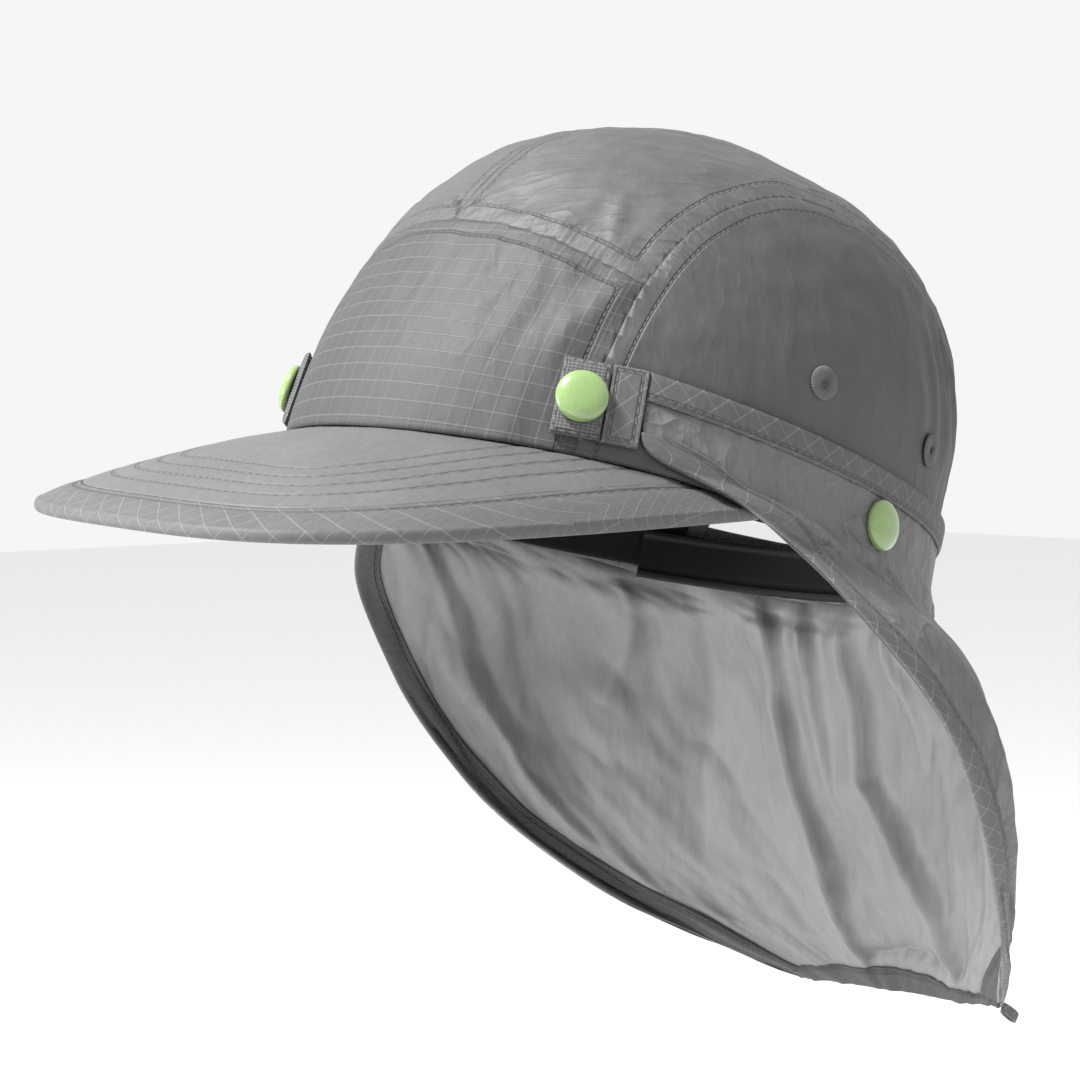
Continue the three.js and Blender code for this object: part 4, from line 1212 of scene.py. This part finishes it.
FOLDS = (
    Fold(((-0.86, 0.24), (-0.79, 0.47), (-0.72, 0.6), (-0.7, 0.76)), 11.0, -5.0, 0.4),
    Fold(((-0.36, 0.14), (-0.4, 0.36), (-0.48, 0.5)), 6.0, -2.8, 0.4),
    Fold(((-0.25, 0.1), (-0.27, 0.48), (-0.36, 0.66), (-0.52, 0.86)), 8.0, 2.6),
    Fold(((-0.14, 0.1), (-0.12, 0.42), (-0.11, 0.68), (-0.15, 1.0)), 9.0, -7.0, 0.3),
    Fold(((-0.06, 0.12), (-0.05, 0.36), (-0.04, 0.6)), 4.5, -4.4, 0.4),
    Fold(((0.02, 0.1), (0.03, 0.52), (0.14, 0.66), (0.27, 0.8), (0.4, 0.97)), 10.0, -8.0, 0.3),
    Fold(((0.12, 0.3), (0.3, 0.6), (0.5, 0.92)), 9.0, -3.4, 0.4),
    Fold(((0.5, 0.28), (0.53, 0.56), (0.55, 0.88)), 8.5, -3.4, 0.5),
    Fold(((0.84, 0.28), (0.76, 0.55), (0.7, 0.84)), 7.0, 3.2),
    Fold(((0.12, 0.1), (0.15, 0.36), (0.19, 0.52)), 5.0, -4.0, 0.4),
    Fold(((0.28, 0.1), (0.34, 0.42), (0.4, 0.66)), 6.0, 2.6, 0.5),
    Fold(((-0.6, 0.24), (-0.62, 0.5), (-0.56, 0.78)), 9.0, 2.2),
    Fold(((-0.2, 0.93), (0.05, 0.87), (0.42, 0.91)), 4.5, 2.6),
)


@dataclass
class Flap:
    """The neck flap: hung cloth with its folds, its edge tape, its hanging loop and its two side caps."""

    form: CrownForm
    fittings: Fittings
    spread: float = 110.0
    back: float = 118.5
    drop: float = 141.5
    standoff: float = 1.3
    wall: float = 0.8
    tape: float = 7.0
    tape_wall: float = 1.8
    side_cap: tuple = (0.593, 0.063)
    steps: tuple = (241, 191)

    def crown_section(self, row: tuple, share: Grid) -> Grid:
        """A section that lies on the crown, from the middle of the back to the side edge.

        Args:
            row: a row of ON_CROWN.
            share: shares of the way to the side edge.

        Returns:
            The points.
        """
        edge = math.radians(row[0] * self.fittings.tab_angle)
        around = math.pi + (edge - math.pi) * share
        back = row[2] * self.drop
        height = back + (row[1] * self.fittings.tab_height - back) * share
        off = self.standoff * (row[4] + (row[3] - row[4]) * share**3)
        return self.form.hat(self.form.on(around, height, off))

    def top_section(self, across: Grid) -> Grid:
        """The section along the strip's lower edge.

        Args:
            across: shares of the way to the side edge.

        Returns:
            The points.
        """
        end = self.fittings.tab_end()
        start = end + 0.3 * self.fittings.per_mm(end, self.fittings.strip_front)
        around = math.pi + (start - math.pi) * across
        height = self.fittings.strip_height(around) - self.fittings.strip_width / 2 + 0.5
        return self.form.hat(self.form.on(around, height, 0.55 * self.standoff))

    def hanging_section(self, row: tuple, across: Grid) -> Grid:
        """A free section, curved from the side edge round to the middle of the back.

        Args:
            row: a row of HANGING.
            across: shares of the way to the side edge.

        Returns:
            The points.
        """
        edge = np.array([row[0] * self.spread, row[1] * self.back, -row[2] * self.drop])
        back = np.array([0, row[3] * self.back, -row[4] * self.drop])
        first = edge + row[5] * (back - edge)
        second = edge + (1 - row[5] / 2) * (back - edge)
        first[0], second[0], second[1] = edge[0], row[6] * edge[0], back[1]
        t = (1 - across)[:, None]
        s = 1 - t
        return s**3 * edge + 3 * s * s * t * first + 3 * s * t * t * second + t**3 * back

    def plain(self, across: Grid, down: Grid) -> Grid:
        """The flap without folds, as a grid of shares down by shares across.

        Args:
            across: from -1 to 1.
            down: from 0 to 1.

        Returns:
            The points.
        """
        side = np.linspace(0, 1, 49)
        rows = [self.top_section(side)] + [self.crown_section(row, side) for row in ON_CROWN]
        half = np.stack(rows + [self.hanging_section(row, side) for row in HANGING], 1)
        other = half[:0:-1] * np.array([-1, 1, 1])
        table = np.concatenate([other, half]).reshape(97, -1)
        columns = smooth_column(table, (across + 1) * 48).reshape(len(across), 13, 3)
        rows = np.swapaxes(columns, 0, 1).reshape(13, -1)
        return smooth_column(rows, down * 12).reshape(len(down), len(across), 3)

    def hang(self) -> None:
        """Works out the cloth with all its folds and wrinkles."""
        across, down = np.linspace(-1, 1, self.steps[0]), np.linspace(0, 1, self.steps[1])
        p = self.plain(across, down)
        for _ in range(60):
            p[1:-1] = (p[:-2] + 2 * p[1:-1] + p[2:]) / 4
        n = facing(p)
        a, d = np.meshgrid(across, down)
        lift = sum(fold.push(a, d) for fold in FOLDS)
        flat = np.stack([a * 130, d * 150, a * 0], -1)
        free = np.clip((d - 0.1) / 0.22, 0, 1)
        rumple = 1.1 * ripple(flat, 30, 3.0, (1.2, 0.7, 1)) + 0.55 * ripple(flat, 13, 8.0, (1.3, 0.8, 1))
        crease = 0.7 - np.abs(ripple(flat, 24, 14.0, (1.5, 0.8, 1))) * 2.6
        near_side = np.clip((np.abs(a) - 0.55) / 0.2, 0, 1)
        tight = 0.45 * ripple(flat, 5.5, 21.0, (1.2, 0.8, 1))
        tight += near_side * (1.0 - 3.4 * np.abs(ripple(flat, 15, 51.0, (1.4, 0.7, 1)))) * 0.8
        gather = 0.8 * ripple(flat, 7.0, 31.0, (1.4, 0.2, 1)) * np.exp(-(((d - 0.07) / 0.1) ** 2))
        gather *= np.clip(1.2 - np.abs(a), 0, 1)
        hem = np.minimum(1 - np.abs(a), 1 - d) * 130
        calm = 0.4 + 0.6 * np.clip(hem / 14, 0, 1)
        rub = 0.15 * ripple(flat, 9.0, 41.0, (1.3, 0.4, 1)) * (1 - free)
        self.points = p + n * ((lift + (rumple + crease + tight) * free) * calm + gather + rub)[..., None]
        self.normals = facing(self.points)

    def at(self, grid: Grid, across: Grid, down: Grid) -> Grid:
        """A grid's value at shares across and down.

        Args:
            grid: one of the flap's grids.
            across: from -1 to 1.
            down: from 0 to 1.

        Returns:
            The values.
        """
        x = np.clip((across + 1) / 2, 0, 1) * (self.steps[0] - 1)
        y = np.clip(down, 0, 1) * (self.steps[1] - 1)
        i, j = np.minimum(x.astype(int), self.steps[0] - 2), np.minimum(y.astype(int), self.steps[1] - 2)
        u, v = (x - i)[..., None], (y - j)[..., None]
        low = grid[j, i] * (1 - u) + grid[j, i + 1] * u
        high = grid[j + 1, i] * (1 - u) + grid[j + 1, i + 1] * u
        return low * (1 - v) + high * v

    def inset(self, across: Grid, down: Grid, distance: float) -> tuple[Grid, Grid]:
        """Moves stations on the edge inwards.

        Args:
            across: their shares across.
            down: their shares down.
            distance: how far, in millimetres.

        Returns:
            The new shares across and down.
        """
        ends, rows = np.linspace(-1, 1, 161), np.linspace(0, 1, 161)
        foot = self.at(self.points, ends, ends * 0 + 1)
        sides = {s: self.at(self.points, rows * 0 + s, rows) for s in (1, -1)}

        def side_share(down: Grid) -> Grid:
            """The shares across that keep clear of the nearer side."""
            one, two = (
                short_of(lambda share: self.at(self.points, s * share, down), line, distance, 16, down)
                for s, line in sides.items()
            )
            return np.where(across > 0, one, two)

        at_foot = across * side_share(down * 0 + 1)
        lower = down * short_of(lambda share: self.at(self.points, at_foot, share), foot, distance, 16, down)
        return across * side_share(lower), lower

    def build(self) -> None:
        """Makes the cloth, the edge tape, the loop and the side caps."""
        self.hang()
        along, fall = run_length(self.points, 1), run_length(self.points, 0)
        middle = along[:, self.steps[0] // 2][:, None]
        down = np.linspace(0, 1, self.steps[1])[:, None] * 150
        maps = charts(along - middle, fall * 0.4 + down * 0.6, along, fall)
        # the inner face takes the lighter finish: painted light for the light shining through the cloth
        finishes = [FLAP_OUT, FLAP_IN_LIT]
        cloth = piece("flap_cloth", weave(self.points, maps), STRAIGHT, finishes, "neck_flap")
        wall(cloth, self.wall, Face.MIDDLE, 1)
        tape = self.edge_tape()
        loop = self.loop()
        across, down = self.side_cap
        for side, name in ((1, "left"), (-1, "right")):
            spot = (np.array(side * across), np.array(down))
            n = self.at(self.normals, *spot)
            seat = self.at(self.points, *spot) + n * (self.wall / 2)
            self.fittings.cap("snap_side_" + name, Vector(seat), Vector(n), STRAIGHT)

    def edge_tape(self) -> bpy.types.Object:
        """The tape folded over both side edges and the bottom."""
        down = np.linspace(0.05, 1, 190)[:-1]
        foot = np.linspace(-1, 1, 300)
        across = np.concatenate([down * 0 - 1, foot, down * 0 + 1])
        level = np.concatenate([down, foot * 0 + 1, down[::-1]])
        inner = self.inset(across, level, self.tape)
        share = np.linspace(0, 1, 9)[:, None]
        a, d = inner[0] + (across - inner[0]) * share, inner[1] + (level - inner[1]) * share
        p, n = soften(self.at(self.points, a, d), 2), soften(self.at(self.normals, a, d), 5)
        out = unit(soften(p[-1:] - p[-2:-1], 5))
        half = self.tape_wall / 2 + 0.15
        puff = half * (0.94 + 0.1 * np.sin(share * math.pi))[..., None]
        turn = np.linspace(0, math.pi, 7)[1:-1, None, None]
        edge = p[-1:] + n[-1:] * np.cos(turn) * half * 0.94 + out * np.sin(turn) * half * 0.8
        points = np.concatenate([p + n * puff, edge, (p - n * puff)[::-1], (p + n * puff)[:1]])
        run = run_length(p[-1:], 1)
        away = away_from(p, p[-1])
        rows = np.concatenate([away, edge[..., 0] * 0, away[::-1], away[:1]])
        bm = weave(points, charts(run, run_length(points, 0), run, rows))
        # faces past the outer side and the fold take the darker inner finish: painted shade on the tape's inside
        outside = (len(share) + 2) * (points.shape[1] - 1)
        for index, face in enumerate(bm.faces):
            face.material_index = int(index >= outside)
        seal(bm)
        return piece("flap_tape", bm, STRAIGHT, [HEM, HEM_IN_SHADED], "flap_edge_binding")

    def loop(self) -> bpy.types.Object:
        """The hanging loop of narrow tape at the lower corner on the wearer's left."""
        one = np.array(1.0)
        corner = Vector(self.at(self.points, one, one))
        inner = Vector(self.at(self.points, *self.inset(one[None], one[None], self.tape))[0])
        above = Vector(self.at(self.points, one, np.array(0.98)))
        away = ((corner - inner).normalized() + (corner - above).normalized()).normalized()
        turn = np.linspace(0, 2 * math.pi, 81)[None, :]
        round_ = np.linspace(0, 2 * math.pi, 17)[:, None]
        thick, wide = (
            size * np.sign(wave) * np.abs(wave) ** 0.5 for size, wave in ((0.42, np.cos(round_)), (1.5, np.sin(round_)))
        )
        pinch = 0.62 + 0.38 * np.sin(turn / 2 + math.pi / 4) ** 2
        x = (1.3 * pinch + thick) * np.cos(turn)
        y = (3.6 + thick) * np.sin(turn)
        bm = skin(np.stack([x, y, wide + 0 * turn], -1), charts(turn * 3, wide, turn * 3, 1.5 - np.abs(wide)))
        swing = Vector((0, 1, 0)).rotation_difference(away).to_matrix().to_4x4()
        bmesh.ops.transform(bm, matrix=Matrix.Translation(corner + away * 4.4) @ swing, verts=bm.verts[:])
        return piece("flap_loop_tape", bm, STRAIGHT, [HEM], "flap_loop")


@dataclass
class Studio:
    """The pale floor, the soft light and the photograph's camera."""

    azimuth: float = 46.0
    elevation: float = 3.0
    distance: float = 1.25
    lens: float = 150.0
    shift: tuple = (-0.07, -0.009)
    floor_depth: float = -0.42
    floor_level: float = 0.86
    sky_level: float = 0.92

    def lamp(self, name: str, place: tuple, power: float, size: float) -> None:
        """A square soft light that points at the hat.

        Args:
            name: its name.
            place: where it stands, in metres.
            power: watts.
            size: its side, in metres.
        """
        data = bpy.data.lights.new(name, "AREA")
        data.energy, data.size = power, size
        made = put(name, data)
        made.location = place
        made.rotation_euler = (-Vector(place)).to_track_quat("-Z", "Y").to_euler()

    def build(self) -> None:
        """Makes the floor, world, lights and camera."""
        bm = bmesh.new()
        bmesh.ops.create_grid(bm, x_segments=1, y_segments=1, size=6.0)
        mesh = bpy.data.meshes.new("floor")
        bm.to_mesh(mesh)
        bm.free()
        floor = put("floor", mesh)
        floor.location = (0, 0, self.floor_depth)
        paint = Paint("floor_paint")
        paint.shader.inputs["Base Color"].default_value = (self.floor_level,) * 3 + (1,)
        paint.shader.inputs["Roughness"].default_value = 0.9
        mesh.materials.append(paint.material)
        world = bpy.data.worlds.new("pale")
        bpy.context.scene.world = world
        world.use_nodes = True
        sky = world.node_tree.nodes["Background"].inputs
        sky["Color"].default_value = (1, 1, 1, 1)
        sky["Strength"].default_value = self.sky_level
        self.lamp("key", (-0.4, -1.2, 1.9), 120.0, 0.4)
        self.lamp("low", (-1.0, -1.45, 0.1), 26.0, 0.3)
        a, e = math.radians(self.azimuth), math.radians(self.elevation)
        back = Vector((math.sin(a) * math.cos(e), -math.cos(a) * math.cos(e), math.sin(e)))
        data = bpy.data.cameras.new("camera")
        data.lens, data.sensor_width = self.lens, 36.0
        data.shift_x, data.shift_y = self.shift
        data.clip_end = 20.0
        camera = put("camera", data)
        camera.location = back * self.distance
        camera.rotation_euler = (-back).to_track_quat("-Z", "Y").to_euler()
        bpy.context.scene.camera = camera
        bpy.context.scene.view_settings.view_transform = "Standard"


def main() -> None:
    """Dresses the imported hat."""
    logging.basicConfig(level=logging.INFO, format="%(message)s")
    Crown(CROWN).build()
    Visor(CROWN).build()
    fittings = Fittings(CROWN)
    fittings.build()
    Flap(CROWN, fittings).build()
    Studio().build()


if __name__ == "__main__":
    main()
